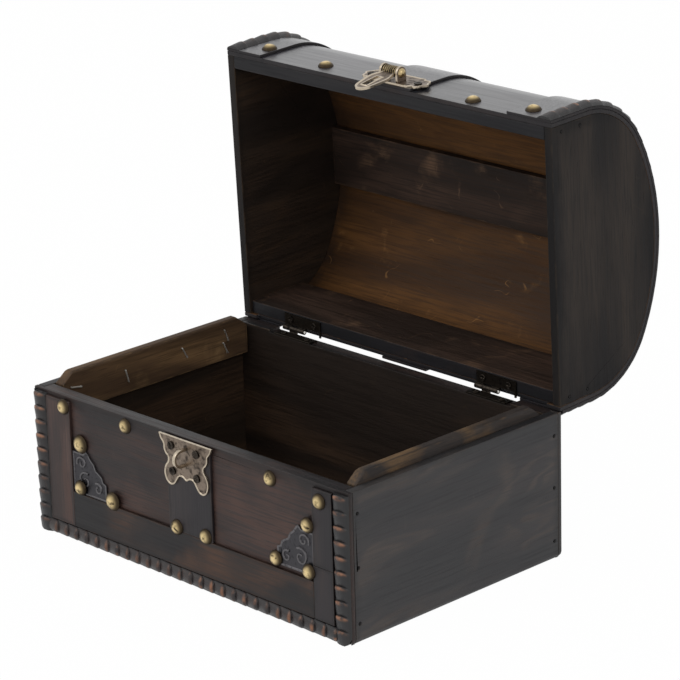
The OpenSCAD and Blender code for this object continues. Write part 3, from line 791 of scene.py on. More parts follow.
@dataclass(frozen=True)
class WoodFinish:
    """A stain over wood, with figure, burnt edges, worn patches and scratches.

    Widths and depths are in metres, and burn_ragged is in burn widths. A higher worn_scale makes
    smaller patches. The other numbers are shares, from 0 for none to 1.
    """

    dark: Colour
    light: Colour
    streak: Colour
    bare: Colour
    burnt: Colour = linear(10, 10, 12)
    grain: Grain = Grain.ALONG
    streaks: float = 0.2
    fibres: float = 0.35
    pores: float = 0.5
    roughness: float = 0.45
    specular: float = 0.5
    coat: float = 0.0
    coat_roughness: float = 0.28
    burn_width: float = 5 * MM
    burn_ragged: float = 1.2
    burn: float = 0.7
    worn: float = 0.1
    worn_scale: float = 26.0
    rubbed: float = 0.25
    rub_width: float = 0.7 * MM
    rub_ragged: float = 2.6 * MM
    scratched: float = 0.25
    scratch_tone: float = 0.6
    relief: float = 0.35
    relief_depth: float = 0.12 * MM
    carved: bool = False

    def material(self, name: str, body: Body, low: Vector, high: Vector, seed: int) -> Material:
        """Makes the material of one board.

        Args:
            name: The material's name.
            body: The body that wears it.
            low: The board's lowest corner on the closed chest.
            high: The board's highest corner on the closed chest.
            seed: Moves the figure, so that no two boards match.

        Returns:
            The material.
        """
        surface = Surface(name, body)
        tree = surface.tree
        shift = random.Random(seed).uniform(-1.0, 1.0)
        box = {"Vector": surface.place, "Low": tuple(low), "High": tuple(high)}
        wood = FIGURE.use(tree, Vector=surface.place, Reach=self.grain.value, Shift=(shift, shift, shift))
        fibre = wood.outputs["Fibre"]
        edges = EDGES.use(tree, Width=self.burn_width, Ragged=self.burn_width * self.burn_ragged, **box)
        arrises = EDGES.use(tree, Width=self.rub_width, Ragged=self.rub_ragged, **box)
        marks = SCRATCHES.use(tree, Vector=surface.place, Amount=self.scratched).outputs["Mask"]
        colour = self._stained(surface, wood)
        colour = tree.blend(tree.maths("MULTIPLY", edges.outputs["Mask"], self.burn), colour, self.burnt)
        # Carved work gets painted shade in its hollows and chipped stain on its lips.
        if self.carved:
            colour = self._gouged(surface, colour)
        colour = tree.blend(tree.maths("MULTIPLY", arrises.outputs["Mask"], self.rubbed), colour, self.bare)
        colour = tree.blend(tree.maths("MULTIPLY", marks, self.scratch_tone), colour, self.bare)
        surface.feed(
            Base_Color=colour, Specular_IOR_Level=self.specular, Coat_Weight=self.coat,
            Coat_Roughness=self.coat_roughness,
            Roughness=tree.spread(fibre, 0.3, 0.75, self.roughness - 0.06, self.roughness + 0.12),
        )
        height = tree.maths("SUBTRACT", fibre, tree.maths("MULTIPLY", wood.outputs["Pores"], 0.5))
        height = tree.maths("SUBTRACT", height, tree.maths("MULTIPLY", marks, 0.5))
        surface.bump(height, self.relief, self.relief_depth)
        return surface.material

    def _stained(self, surface: Surface, wood: Node) -> Socket:
        """Colours the wood: the stain, its figure and fibres, worn patches and pores.

        Args:
            surface: The material being made.
            wood: The wood figure's node.

        Returns:
            The colour.
        """
        tree = surface.tree
        cloud, figure, fibre, pores = wood.outputs
        deep = tuple(channel * 0.45 for channel in self.dark)
        colour = tree.blend(tree.spread(cloud, 0.36, 0.64), self.dark, self.light)
        colour = tree.blend(tree.maths("MULTIPLY", figure, self.streaks), colour, self.streak)
        shade = tree.maths("MULTIPLY", tree.spread(fibre, 0.56, 0.36), self.fibres)
        colour = tree.blend(shade, colour, deep)
        patches = PATCHES.use(tree, Vector=surface.place, Scale=self.worn_scale, Amount=self.worn, Soft=0.2)
        thin = tree.spread(fibre, 0.35, 0.6, start=0.35, end=0.9)
        colour = tree.blend(tree.maths("MULTIPLY", patches.outputs["Mask"], thin), colour, self.bare)
        return tree.blend(tree.maths("MULTIPLY", pores, self.pores), colour, deep)

    def _gouged(self, surface: Surface, colour: Socket) -> Socket:
        """Paints shade into the hollows of carved work and chips the stain off its lips.

        Args:
            surface: The material being made.
            colour: The colour so far.

        Returns:
            The colour.
        """
        tree = surface.tree
        lip = tree.add("Attribute", attribute_name=LIP).outputs["Fac"]
        chips = tree.spread(tree.noise(surface.place, scale=190.0), 0.36, 0.6)
        broad = tree.spread(tree.noise(surface.place, scale=14.0, detail=1.0), 0.42, 0.58, start=0.3)
        # Painted shade: where the lip mark is near 0, at the foot of each cut, the colour is darkened
        # towards the burnt colour.
        colour = tree.blend(tree.spread(lip, 0.0, 0.09, start=0.75, end=0.0), colour, self.burnt)
        chipped = tree.maths("MULTIPLY", tree.spread(lip, 0.15, 0.7), tree.maths("MULTIPLY", chips, broad))
        return tree.blend(chipped, colour, self.bare)


@dataclass(frozen=True)
class MetalFinish:
    """Aged metal: a rubbed metal tone under a dark patina.

    A domed finish has painted shade round a piece's foot, partly patina, and a painted highlight on its
    crown, partly rubbed metal. Dulling is how much rougher the patina is than the metal.
    """

    metal: Colour
    patina: Colour
    cover: float = 0.45
    cloud_scale: float = 330.0
    roughness: float = 0.4
    dulling: float = 0.22
    hammer: float = 0.5
    hammer_depth: float = 0.1 * MM
    metallic: float = 1.0
    domed: bool = False

    def material(self, name: str, body: Body) -> Material:
        """Makes the material.

        Args:
            name: The material's name.
            body: The body that wears it.

        Returns:
            The material.
        """
        surface = Surface(name, body)
        tree = surface.tree
        struck = HAMMERED.use(tree, Vector=surface.place).outputs
        cloud = PATCHES.use(
            tree, Vector=surface.place, Scale=self.cloud_scale, Amount=self.cover, Soft=0.3
        ).outputs["Mask"]
        patina_and_shade = tree.maths("MAXIMUM", cloud, tree.maths("MULTIPLY", struck["Pits"], self.cover))
        # Painted shade and highlight: a dome is darkened towards its foot, partly as patina, and kept bright
        # metal on its crown as a painted highlight.
        if self.domed:
            crown = tree.add("Attribute", attribute_name=LIP).outputs["Fac"]
            patina_and_shade = tree.maths("MAXIMUM", patina_and_shade, tree.spread(crown, 0.2, 1.05, start=0.97, end=0.0))
        surface.feed(
            Base_Color=tree.blend(patina_and_shade, self.metal, self.patina),
            Metallic=self.metallic,
            Roughness=tree.spread(patina_and_shade, 0.0, 1.0, self.roughness, self.roughness + self.dulling),
        )
        surface.bump(struck["Height"], self.hammer, self.hammer_depth)
        return surface.material


OUTER = WoodFinish(
    dark=linear(24, 20, 21), light=linear(44, 32, 28), streak=linear(70, 48, 34), bare=linear(92, 76, 64)
)
INNER = WoodFinish(
    dark=linear(34, 25, 18), light=linear(58, 42, 29), streak=linear(76, 55, 36), bare=linear(104, 80, 56),
    burnt=linear(18, 14, 11), roughness=0.65, specular=0.25, burn=0.5, fibres=0.45,
)
AMBER = replace(
    INNER, dark=linear(64, 41, 21), light=linear(100, 66, 32), streak=linear(52, 34, 20),
    bare=linear(150, 108, 62), burnt=linear(28, 20, 16), streaks=0.3, fibres=0.42, worn=0.24,
    worn_scale=70.0, scratched=1.0, burn_width=18 * MM, burn=0.7,
)
CARVED = replace(
    OUTER, dark=linear(19, 18, 21), light=linear(38, 30, 30), bare=linear(138, 94, 68), carved=True,
    burn=0.3, rubbed=0.0, worn=0.05,
)
BRONZE = MetalFinish(linear(126, 113, 101), linear(48, 42, 38), cover=0.6, hammer=0.9)
RUBBED = MetalFinish(linear(188, 175, 156), linear(112, 100, 86), cover=0.4, roughness=0.32, hammer=0.3)
BRASS = MetalFinish(
    linear(226, 202, 150), linear(44, 36, 30), cover=0.62, roughness=0.28, hammer=1.0, domed=True
)
RIVET = replace(BRASS, metal=linear(178, 158, 118), cover=0.5, domed=False)
PEWTER = MetalFinish(linear(66, 65, 68), linear(30, 30, 33), cover=0.4, roughness=0.45)
PEWTER_RIM = MetalFinish(linear(98, 96, 98), linear(48, 47, 50), cover=0.45, roughness=0.42)
STEEL = MetalFinish(linear(236, 234, 228), linear(170, 168, 160), cover=0.2, roughness=0.5, hammer=0.1)
IRON = MetalFinish(linear(34, 33, 33), linear(12, 12, 12), cover=0.5, roughness=0.5)
DARK_BRONZE = MetalFinish(linear(62, 56, 50), linear(20, 18, 17), cover=0.6)


def enrol(piece: Piece, body: Body, slot: Slot, *nodes: str) -> None:
    """Puts a finished piece on its body in the place of CAD nodes.

    Args:
        piece: The piece, in its place.
        body: The body that it rides on.
        slot: The record's finish that it stands for; not used.
        *nodes: The CAD nodes that it replaces.
    """
    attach(piece, body.value)
    if nodes:
        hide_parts(*nodes)
    log.info("%s rides on %s for %s", piece.name, body.value, ", ".join(nodes) or "nothing")


def dress(piece: Piece, *materials: Material) -> None:
    """Gives a piece its materials, in slot order."""
    for material in materials:
        piece.data.materials.append(material)


@dataclass
class Board:
    """One board: a CAD node with softened edges and its own figure.

    The faces that look along inward, or at the hub, wear the inner finish. The faces that look
    sideways or down wear the finish of the sides. A face looks some way where the cosine between
    the two is more than facing. An arched board is burnt along its left and right edges only.
    """

    node: str
    body: Body
    finish: WoodFinish = OUTER
    inner: WoodFinish | None = None
    sides: WoodFinish | None = None
    inward: Vector | None = None
    hub: Vector | None = None
    edge: float = 0.5 * MM
    foot: float = 0.0
    facing: float = 0.7
    hub_facing: float = 0.6
    slot: Slot = Slot.WALNUT
    arched: bool = False

    def build(self) -> Piece:
        """Models the board.

        Returns:
            The board, with its inner faces in the second material slot.
        """
        piece = merged_copy(self.node, f"{self.node}_board")
        if self.foot:
            self._round_foot(piece)
        soften(piece, self.edge)
        turn = turn_of(self.body)
        spin = turn.to_3x3()
        for face in piece.data.polygons:
            normal = spin @ face.normal
            if self.inner and self._is_inner(turn @ face.center, normal):
                face.material_index = 1
            elif self.sides and (abs(normal.x) > self.facing or normal.z < -self.facing):
                face.material_index = 2 if self.inner else 1
        return piece

    def _round_foot(self, piece: Piece) -> None:
        """Rounds the board's outer bottom edges.

        Args:
            piece: The board.
        """
        low, high = CAD_BOX
        inset = 0.1 * MM
        side = high.x - inset
        front = -node_box("front_panel", Body.CHEST)[0].y - inset

        def outer(edge: bmesh.types.BMEdge) -> bool:
            """Tells whether an edge runs round the chest's foot.

            Args:
                edge: An edge of the board.

            Returns:
                True for an outer bottom edge.
            """
            ends = [vertex.co for vertex in edge.verts]
            if any(end.z > low.z + NEAR for end in ends):
                return False
            return all(abs(end.x) > side for end in ends) or all(abs(end.y) > front for end in ends)

        with editing(piece):
            found = pick(piece, Part.EDGES, outer)
            if found:
                bpy.ops.mesh.bevel(offset=self.foot, segments=4, affect="EDGES")
        log.info("%s: %d foot edges rounded", self.node, found)

    def _is_inner(self, centre: Vector, normal: Vector) -> bool:
        """Tells whether a face of the board looks into the box.

        Args:
            centre: The face's centre on the closed chest.
            normal: The face's direction on the closed chest.

        Returns:
            True for an inner face.
        """
        if self.hub is not None:
            away = Vector((0.0, centre.y - self.hub.y, centre.z - self.hub.z)).normalized()
            return away.dot(normal) < -self.hub_facing
        return normal.dot(self.inward) > self.facing

    def place(self, seed: int) -> None:
        """Builds the board, dresses it and puts it on its body.

        Args:
            seed: Chooses the board's figure.
        """
        piece = self.build()
        low, high = node_box(self.node, self.body)
        if self.arched:
            # A box that is flat in depth and far too high has only its left and right edges here.
            low.y = high.y = 0.0
            high.z += 1.0
        kinds = [kind for kind in (self.finish, self.inner, self.sides) if kind]
        materials = [
            finish.material(f"{self.node}_{index}", self.body, low, high, seed + 50 * index)
            for index, finish in enumerate(kinds)
        ]
        dress(piece, *materials)
        enrol(piece, self.body, self.slot, self.node)


@dataclass
class ChestCase:
    """The chest's five panels and the battens inside its ends."""

    edge: float = 0.6 * MM
    foot: float = 3.2 * MM

    def build(self) -> None:
        """Builds and dresses every board of the chest."""
        front = replace(
            OUTER, dark=linear(29, 25, 27), light=linear(60, 45, 41), bare=linear(80, 57, 49), worn=0.54,
            worn_scale=13.0, burn_width=9 * MM, rubbed=0.1, fibres=0.6, relief=0.6, specular=0.28,
        )
        end = replace(
            OUTER, grain=Grain.DEEP, dark=linear(26, 25, 28), light=linear(42, 38, 39),
            streak=linear(76, 64, 55), bare=linear(66, 55, 48), streaks=0.42, roughness=0.55, worn=0.3,
            worn_scale=18.0, fibres=0.5,
        )
        inner_end = replace(INNER, grain=Grain.DEEP)
        inner_wall = replace(
            INNER, dark=linear(36, 27, 21), light=linear(66, 50, 38), bare=linear(92, 72, 50), worn=0.2,
            worn_scale=22.0,
        )
        walls = (
            ("front_panel", front, inner_wall, (0, 1, 0)), ("back_panel", OUTER, inner_wall, (0, -1, 0)),
            ("left_end_panel", end, inner_end, (1, 0, 0)), ("right_end_panel", end, inner_end, (-1, 0, 0)),
        )
        batten = replace(
            INNER, grain=Grain.DEEP, dark=linear(76, 57, 40), light=linear(150, 117, 80),
            streak=linear(44, 33, 24), bare=linear(160, 128, 88), burnt=linear(22, 18, 16), streaks=0.4,
            worn=0.5, worn_scale=26.0, burn_width=2 * MM,
        )
        patched = replace(
            batten, dark=linear(38, 35, 35), light=linear(56, 50, 47), bare=linear(118, 92, 62), worn=0.66,
            worn_scale=20.0,
        )
        boards = [
            Board("bottom_panel", Body.CHEST, INNER, slot=Slot.AMBER),
            *(
                Board(
                    node, Body.CHEST, outer, inner=inner, inward=Vector(inward), edge=self.edge,
                    foot=self.foot,
                )
                for node, outer, inner, inward in walls
            ),
            Board("left_lip_batten", Body.CHEST, batten, slot=Slot.AMBER),
            Board("right_lip_batten", Body.CHEST, patched, slot=Slot.AMBER),
        ]
        for seed, board in enumerate(boards):
            board.place(seed)


@dataclass
class FrontFacing:
    """The flat strips on the chest's front."""

    edge: float = 0.35 * MM

    def build(self) -> None:
        """Builds and dresses every strip."""
        upright = replace(
            OUTER, grain=Grain.UPRIGHT, dark=linear(28, 23, 23), burn_width=2.5 * MM, specular=0.3,
            fibres=0.5,
        )
        reddish = replace(
            upright, dark=linear(46, 37, 36), light=linear(78, 57, 51), bare=linear(98, 74, 66), worn=0.5
        )
        cool = replace(
            upright, dark=linear(34, 30, 34), light=linear(50, 43, 44), bare=linear(70, 56, 52), worn=0.3
        )
        flat = replace(
            OUTER, dark=linear(22, 19, 21), light=linear(48, 37, 33), bare=linear(80, 54, 38),
            burn_width=3 * MM, worn=0.54, worn_scale=14.0, fibres=0.55, specular=0.28,
        )
        strips = {
            "left_stile": reddish, "bottom_strip": flat, "right_stile_upper": cool,
            "right_stile_lower": cool, "centre_strap": cool,
        }
        for seed, (node, finish) in enumerate(strips.items(), 10):
            Board(node, Body.CHEST, finish, edge=self.edge).place(seed)


@dataclass
class LidShell:
    """The lid's end boards, rails, bent sheet, stiffener and bands."""

    edge: float = 0.5 * MM
    band_edge: float = 0.35 * MM
    hub_rise: float = 25 * MM

    def build(self) -> None:
        """Builds and dresses every board of the lid."""
        rim = node_box("lid_dome", Body.LID)[0].z
        hub = Vector((0.0, 0.0, rim + self.hub_rise))
        lacquer = replace(
            OUTER, dark=linear(24, 24, 31), light=linear(40, 38, 46), streak=linear(54, 48, 52),
            bare=linear(58, 50, 50), coat=0.7, worn=0.3, worn_scale=12.0, roughness=0.38,
            burn_width=2.5 * MM,
        )
        ends = replace(
            OUTER, grain=Grain.DEEP, dark=linear(29, 27, 27), light=linear(52, 46, 42),
            bare=linear(66, 56, 45), streaks=0.0, fibres=0.5, roughness=0.75, specular=0.2, worn=0.3,
            worn_scale=14.0, burn_width=9 * MM, burn=0.5, relief=0.8,
        )
        dark = replace(INNER, grain=Grain.UPRIGHT, dark=linear(32, 24, 19), light=linear(50, 38, 29))
        plank = replace(
            INNER, dark=linear(40, 29, 23), light=linear(72, 54, 44), streak=linear(34, 25, 20),
            bare=linear(112, 86, 66), streaks=0.4, worn=0.42, worn_scale=44.0, scratched=1.0, fibres=0.6,
            burn=0.3,
        )
        bands = replace(lacquer, grain=Grain.DEEP)
        rims = replace(
            OUTER, dark=linear(17, 16, 20), light=linear(28, 26, 30), bare=linear(62, 56, 56),
            roughness=0.62, specular=0.3, burn=0.2, rubbed=0.2,
        )
        walls = (
            ("lid_left_end", ends, dark, None, (1, 0, 0)), ("lid_right_end", ends, dark, None, (-1, 0, 0)),
            ("lid_front_rail", lacquer, AMBER, rims, (0, 1, 0)),
            ("lid_back_rail", OUTER, plank, rims, (0, -1, 0)),
        )
        boards = [
            Board(node, Body.LID, outer, inner, sides, Vector(inward), edge=self.edge)
            for node, outer, inner, sides, inward in walls
        ]
        boards.append(
            Board("lid_dome", Body.LID, lacquer, AMBER, rims, hub=hub, edge=self.edge, arched=True)
        )
        boards.append(Board("lid_stiffener", Body.LID, plank, edge=self.edge))
        boards += [
            Board(f"lid_{place}_band", Body.LID, bands, sides=rims, edge=self.band_edge, arched=True)
            for place in ("left", "centre", "right")
        ]
        for seed, board in enumerate(boards, 20):
            board.place(seed)


@dataclass
class CarvedLength:
    """A low half-round moulding with a crescent gouge cut at every pitch.

    The steps give the section's height along one cut, both as shares. The crest is where along a cut
    the lip is rubbed most, and the fades are how its faces wear towards either end of a cut, where the
    mark falls to 0 and the carved finish paints shade into the cut.
    """

    width: float
    height: float
    length: float
    pitch: float = 7.7 * MM
    sides: int = 22
    bow: float = 2.4 * MM
    bow_reach: float = 0.55
    flank: float = 0.3 * MM
    crest: float = 0.88
    crest_reach: float = 0.12
    crest_wear: float = 0.9
    face_wear: float = 0.15
    side_fall: float = 2.5
    fades: Point = (0.12, 0.05)
    steps: tuple[Point, ...] = (
        (0.0, 0.6), (0.08, 0.66), (0.25, 0.76), (0.45, 0.86), (0.65, 0.94), (0.8, 1.0), (0.91, 0.99),
        (0.96, 0.84), (1.0, 0.6),
    )

    def build(self, name: str) -> Piece:
        """Models one cut by extruding the section, and repeats it.

        Args:
            name: The piece's name.

        Returns:
            The moulding from the origin along +X, with its flat side on Z = 0.
        """
        pitch = self.length / max(1, round(self.length / self.pitch))
        ball = (self.width ** 2 / 4 + self.height ** 2) / (2 * self.height)
        bpy.ops.object.select_all(action="DESELECT")
        bpy.ops.mesh.primitive_circle_add(
            vertices=4 * self.sides, radius=ball, fill_type="NOTHING",
            location=(-pitch - self.bow, 0.0, self.height - ball), rotation=(0.0, math.pi / 2, 0.0),
        )
        bar = bpy.context.active_object
        bar.name = name
        apply_place(bar)
        with editing(bar):
            bpy.ops.mesh.bisect(plane_co=(0, 0, 0), plane_no=(0, 0, 1), clear_inner=True, use_fill=False)
            pick(bar, Part.VERTS, lambda vertex: vertex.co.z > self.height - HAIR)
            bpy.ops.transform.translate(
                value=(self.bow, 0.0, 0.0), use_proportional_edit=True, proportional_edit_falloff="SPHERE",
                proportional_size=self.width * self.bow_reach,
            )
            bpy.ops.mesh.select_all(action="SELECT")
            self._scale(self.steps[0][1])
            for (before, last), (now, size) in zip(self.steps, self.steps[1:]):
                extrude(x=(now - before) * pitch)
                self._scale(size / last)
        self._mark(bar, pitch)
        apply_modifier(
            bar, "ARRAY", count=round(self.length / pitch) + 2, use_relative_offset=False,
            use_constant_offset=True, constant_offset_displace=(pitch, 0.0, 0.0), use_merge_vertices=True,
            merge_threshold=HAIR,
        )
        self._close(bar)
        return bar

    @staticmethod
    def _scale(factor: float) -> None:
        """Scales the height of the selected section."""
        bpy.ops.transform.resize(value=(1.0, 1.0, factor), center_override=(0.0, 0.0, 0.0))

    def _mark(self, bar: Piece, pitch: float) -> None:
        """Marks the lip of the cut, where the stain is rubbed off; where the mark stays near 0, the carved
        finish paints shade.

        Args:
            bar: One cut of the moulding, its first section first.
            pitch: The cut's length.
        """
        count = len(bar.data.vertices) // len(self.steps)

        def strip(point: Vector) -> int:
            """Names the lengthwise line that a point is on, by its microns from the middle."""
            return round(point.y * 1e6)

        starts = {strip(vertex.co): vertex.co.x for vertex in bar.data.vertices[:count]}

        def wear(point: Vector) -> float:
            """Tells how rubbed a point is: most on the crest of the lip.

            Args:
                point: A point of the cut.

            Returns:
                The amount, which mark_lip keeps from 0 to 1.
            """
            along = (point.x - starts.get(strip(point), point.x)) / pitch
            across = 1.0 - abs(2 * point.y / self.width) ** self.side_fall
            ridge = max(0.0, 1.0 - abs(along - self.crest) / self.crest_reach)
            face = min(1.0, along / self.fades[0], (1.0 - along) / self.fades[1])
            return (self.crest_wear * ridge + self.face_wear * face) * across

        mark_lip(bar, wear)

    def _close(self, bar: Piece) -> None:
        """Trims both ends square and closes the flat side.

        Args:
            bar: The moulding, open below and too long.
        """
        with editing(bar):
            for end, way in ((0.0, -1.0), (self.length, 1.0)):
                bpy.ops.mesh.select_all(action="SELECT")
                bpy.ops.mesh.bisect(
                    plane_co=(end, 0, 0), plane_no=(way, 0, 0), clear_outer=True, use_fill=False
                )
            side = self.width / 2 - self.flank
            pick(bar, Part.EDGES, lambda edge: edge.is_boundary
                 and all(abs(v.co.y) > side and v.co.z < self.flank for v in edge.verts)
                 and abs(edge.verts[0].co.x - edge.verts[1].co.x) > TINY)
            bpy.ops.mesh.bridge_edge_loops()
            for end in (0.0, self.length):
                pick_rim(bar, end)
                bpy.ops.mesh.edge_face_add()
        outward(bar)


def rough_up(piece: Piece, depth: float, grain: float, octaves: int = 2) -> None:
    """Wears a piece down unevenly, as hand work and use do.

    Args:
        piece: The mesh object.
        depth: The deepest wear, in metres.
        grain: The size of the hollows, in metres.
        octaves: How many finer layers of hollows are added.
    """
    texture = bpy.data.textures.new(f"{piece.name}_wear", "CLOUDS")
    texture.noise_scale = grain
    texture.noise_depth = octaves
    texture.noise_basis = "IMPROVED_PERLIN"
    apply_modifier(piece, "DISPLACE", texture=texture, strength=depth, mid_level=1.0, texture_coords="LOCAL")


@dataclass
class ChestMouldings:
    """The carved mouldings round the chest's front.

    The cuts round an upright's outer bottom corner: each has an angle in degrees and how far it
    reaches in, as a share of the corner.
    """

    wear: float = 0.25 * MM
    hollows: float = 4 * MM
    rise: float = 0.85
    corner: float = 3.6 * MM
    corner_foot: float = 0.72
    cuts: tuple[Point, ...] = ((25.0, 0.34), (62.0, 0.4))
    overlap: float = 2.5 * MM

    def build(self) -> None:
        """Builds and dresses the three mouldings."""
        for seed, node in enumerate(("left_moulding", "right_moulding", "bottom_moulding"), 40):
            low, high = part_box(node)
            size = high - low
            middle = (low + high) / 2
            standing = size.z > size.x
            if standing:
                width, length = size.x, size.z - 2 * self.wear
                turn = TO_FRONT @ Matrix.Rotation(math.pi / 2, 4, "Z")
                start = Vector((middle.x, high.y, low.z + self.wear))
            else:
                width, length = size.z, size.x + 2 * self.overlap
                turn = TO_FRONT
                start = Vector((low.x - self.overlap, high.y, middle.z))
            bar = CarvedLength(width - 2 * self.wear, size.y * self.rise, length).build(f"{node}_carved")
            rough_up(bar, self.wear, self.hollows)
            settle(bar, Matrix.Translation(start) @ turn)
            if standing:
                self._cut_corner(bar, high.x if middle.x > 0 else low.x)
            smooth(bar, degrees=50.0)
            grain = Grain.UPRIGHT if standing else Grain.ALONG
            dress(bar, replace(CARVED, grain=grain).material(node, Body.CHEST, low, high, seed))
            enrol(bar, Body.CHEST, Slot.WALNUT, node)

    def _cut_corner(self, bar: Piece, x: float) -> None:
        """Rounds an upright's outer bottom corner by its cuts.

        Args:
            bar: The moulding.
            x: The moulding's outer side.
        """
        side = math.copysign(1.0, x)
        for angle, reach in self.cuts:
            normal = (side * math.cos(math.radians(angle)), 0.0, -math.sin(math.radians(angle)))
            place = (x - side * self.corner * reach, 0.0, self.corner * (self.corner_foot - reach))
            with editing(bar):
                bpy.ops.mesh.bisect(plane_co=place, plane_no=normal, clear_outer=True, use_fill=True)


@dataclass
class DomeLine:
    """The line over the closed lid that its mouldings follow, from front rim to back rim."""

    half_depth: float = 71.5 * MM
    rise: float = 73.5 * MM
    crown_r: float = 105 * MM
    shoulder_r: float = 41 * MM
    band_t: float = 1.5 * MM
    step: float = 1.5 * MM
    upright_steps: int = 8

    def points(self) -> list[Point]:
        """The line as (depth, height over the rim), outside the bands.

        Returns:
            Points from the front rim over the crown to the back rim.
        """
        centre_y = self.half_depth - self.shoulder_r
        crown_z = self.rise - self.crown_r
        inner = self.crown_r - self.shoulder_r
        shoulder_z = crown_z + math.sqrt(inner ** 2 - centre_y ** 2)
        flare = math.asin(centre_y / inner)
        reach = self.half_depth + self.band_t
        front = [(-reach, shoulder_z * i / self.upright_steps) for i in range(self.upright_steps)]
        turn = math.pi / 2 + flare
        front += self._arc(-centre_y, shoulder_z, self.shoulder_r + self.band_t, math.pi, turn)
        crown = self._arc(0.0, crown_z, self.crown_r + self.band_t, turn, math.pi / 2)
        half = front + crown[1:]
        return half + [(-y, z) for y, z in reversed(half[:-1])]

    def _arc(self, y: float, z: float, radius: float, start: float, end: float) -> list[Point]:
        """Walks along an arc.

        Args:
            y: The arc's centre, in depth.
            z: The arc's centre, in height.
            radius: The arc's radius.
            start: The angle that it starts at, in radians.
            end: The angle that it ends at.

        Returns:
            Points about a step apart.
        """
        count = max(2, round(abs(end - start) * radius / self.step))
        angles = [start + (end - start) * i / count for i in range(count + 1)]
        return [(y + radius * math.cos(a), z + radius * math.sin(a)) for a in angles]


@dataclass
class LidMouldings:
    """The carved mouldings bent over both ends of the lid."""

    line: DomeLine = field(default_factory=DomeLine)
    wear: float = 0.2 * MM
    hollows: float = 4 * MM
    rise: float = 0.66

    def build(self) -> None:
        """Builds and dresses both mouldings."""
        points = self.line.points()
        length = sum(math.dist(a, b) for a, b in zip(points, points[1:]))
        rim = node_box("lid_front_rail", Body.LID)[0].z
        for seed, node in enumerate(("lid_left_moulding", "lid_right_moulding"), 45):
            low, high = node_box(node, Body.LID)
            height = -self.line.half_depth - self.line.band_t - low.y
            bar = CarvedLength(high.x - low.x, height * self.rise, length).build(f"{node}_carved")
            settle(bar, Matrix.Rotation(-math.pi / 2, 4, "X"))
            path = self._path(points)
            apply_modifier(bar, "CURVE", object=path, deform_axis="POS_X")
            bpy.data.objects.remove(path)
            rough_up(bar, self.wear, self.hollows)
            axes = Matrix(((0, 0, 1, (low.x + high.x) / 2), (1, 0, 0, 0), (0, 1, 0, rim), (0, 0, 0, 1)))
            settle(bar, HINGE.opening() @ axes)
            outward(bar)
            smooth(bar, degrees=50.0)
            finish = replace(CARVED, grain=Grain.DEEP)
            dress(bar, finish.material(node, Body.LID, low, high, seed))
            enrol(bar, Body.LID, Slot.WALNUT, node)

    @staticmethod
    def _path(points: Sequence[Point]) -> Piece:
        """Draws the line as a flat curve.

        Args:
            points: The line.

        Returns:
            The curve.
        """
        curve = bpy.data.curves.new("dome_line", "CURVE")
        curve.dimensions = "2D"
        spline = curve.splines.new("POLY")
        spline.points.add(len(points) - 1)
        for knot, (y, z) in zip(spline.points, points):
            knot.co = (y, z, 0.0, 1.0)
        return new_object("dome_line", curve)


@dataclass
class Studs:
    """The domed, hammered studs: one is modelled and every other is a copy."""

    rise: float = 2.8 * MM
    nail: float = 0.75 * MM
    wall: float = 0.35 * MM
    dent: float = 0.4 * MM
    dent_size: float = 2.4 * MM
    crown: float = 1.25
    seed: int = 7

    def build(self) -> None:
        """Builds the studs of each group in the place of its CAD solids."""
        chance = random.Random(self.seed)
        groups = {"front_studs": Body.CHEST, "front_large_studs": Body.CHEST, "lid_studs": Body.LID}
        for node, body in groups.items():
            turn = turn_of(body)
            boxes = solids_of(node, turn)
            size = boxes[0][1] - boxes[0][0]
            pattern = self._model(size.x / 2, size.y - self.rise)
            heads = []
            for low, high in boxes:
                head = new_object("stud", pattern.data.copy())
                centre = (low + high) / 2
                spin = Matrix.Rotation(chance.uniform(0, 2 * math.pi), 4, "Z")
                place = Matrix.Translation((centre.x, low.y + self.rise, centre.z)) @ TO_FRONT
                settle(head, turn.inverted() @ place @ spin)
                heads.append(head)
            bpy.data.objects.remove(pattern)
            studs = join(heads, f"{node}_hammered")
            smooth(studs, degrees=60.0)
            dress(studs, BRASS.material(node, body))
            enrol(studs, body, Slot.BRASS, node)

    def _model(self, radius: float, depth: float) -> Piece:
        """Models one stud, its head towards +Z and its nail below.

        Args:
            radius: The head's radius.
            depth: The nail's length.

        Returns:
            The stud, its head's foot on Z = 0.
        """
        ball = (radius ** 2 + self.rise ** 2) / (2 * self.rise)
        bpy.ops.object.select_all(action="DESELECT")
        bpy.ops.mesh.primitive_uv_sphere_add(
            segments=32, ring_count=28, radius=ball, location=(0.0, 0.0, self.rise - ball)
        )
        stud = bpy.context.active_object
        apply_place(stud)
        with editing(stud):
            bpy.ops.mesh.bisect(
                plane_co=(0, 0, self.wall), plane_no=(0, 0, 1), clear_inner=True, use_fill=False
            )
        rough_up(stud, self.dent, self.dent_size, octaves=0)
        # Painted highlight and shade: the mark is highest on the crown and 0 at the rim; the brass finish
        # paints the low end as shade, partly patina, and leaves the crown bright.
        mark_lip(stud, lambda point: self.crown * (1.0 - math.hypot(point.x, point.y) / radius))
        with editing(stud):
            pick(stud, Part.EDGES, lambda edge: edge.is_boundary)
            extrude(z=-self.wall)
            bpy.ops.mesh.edge_face_add()
            bpy.ops.mesh.inset(thickness=radius - self.nail, depth=0.0)
            extrude(z=-depth)
        outward(stud)
        return stud


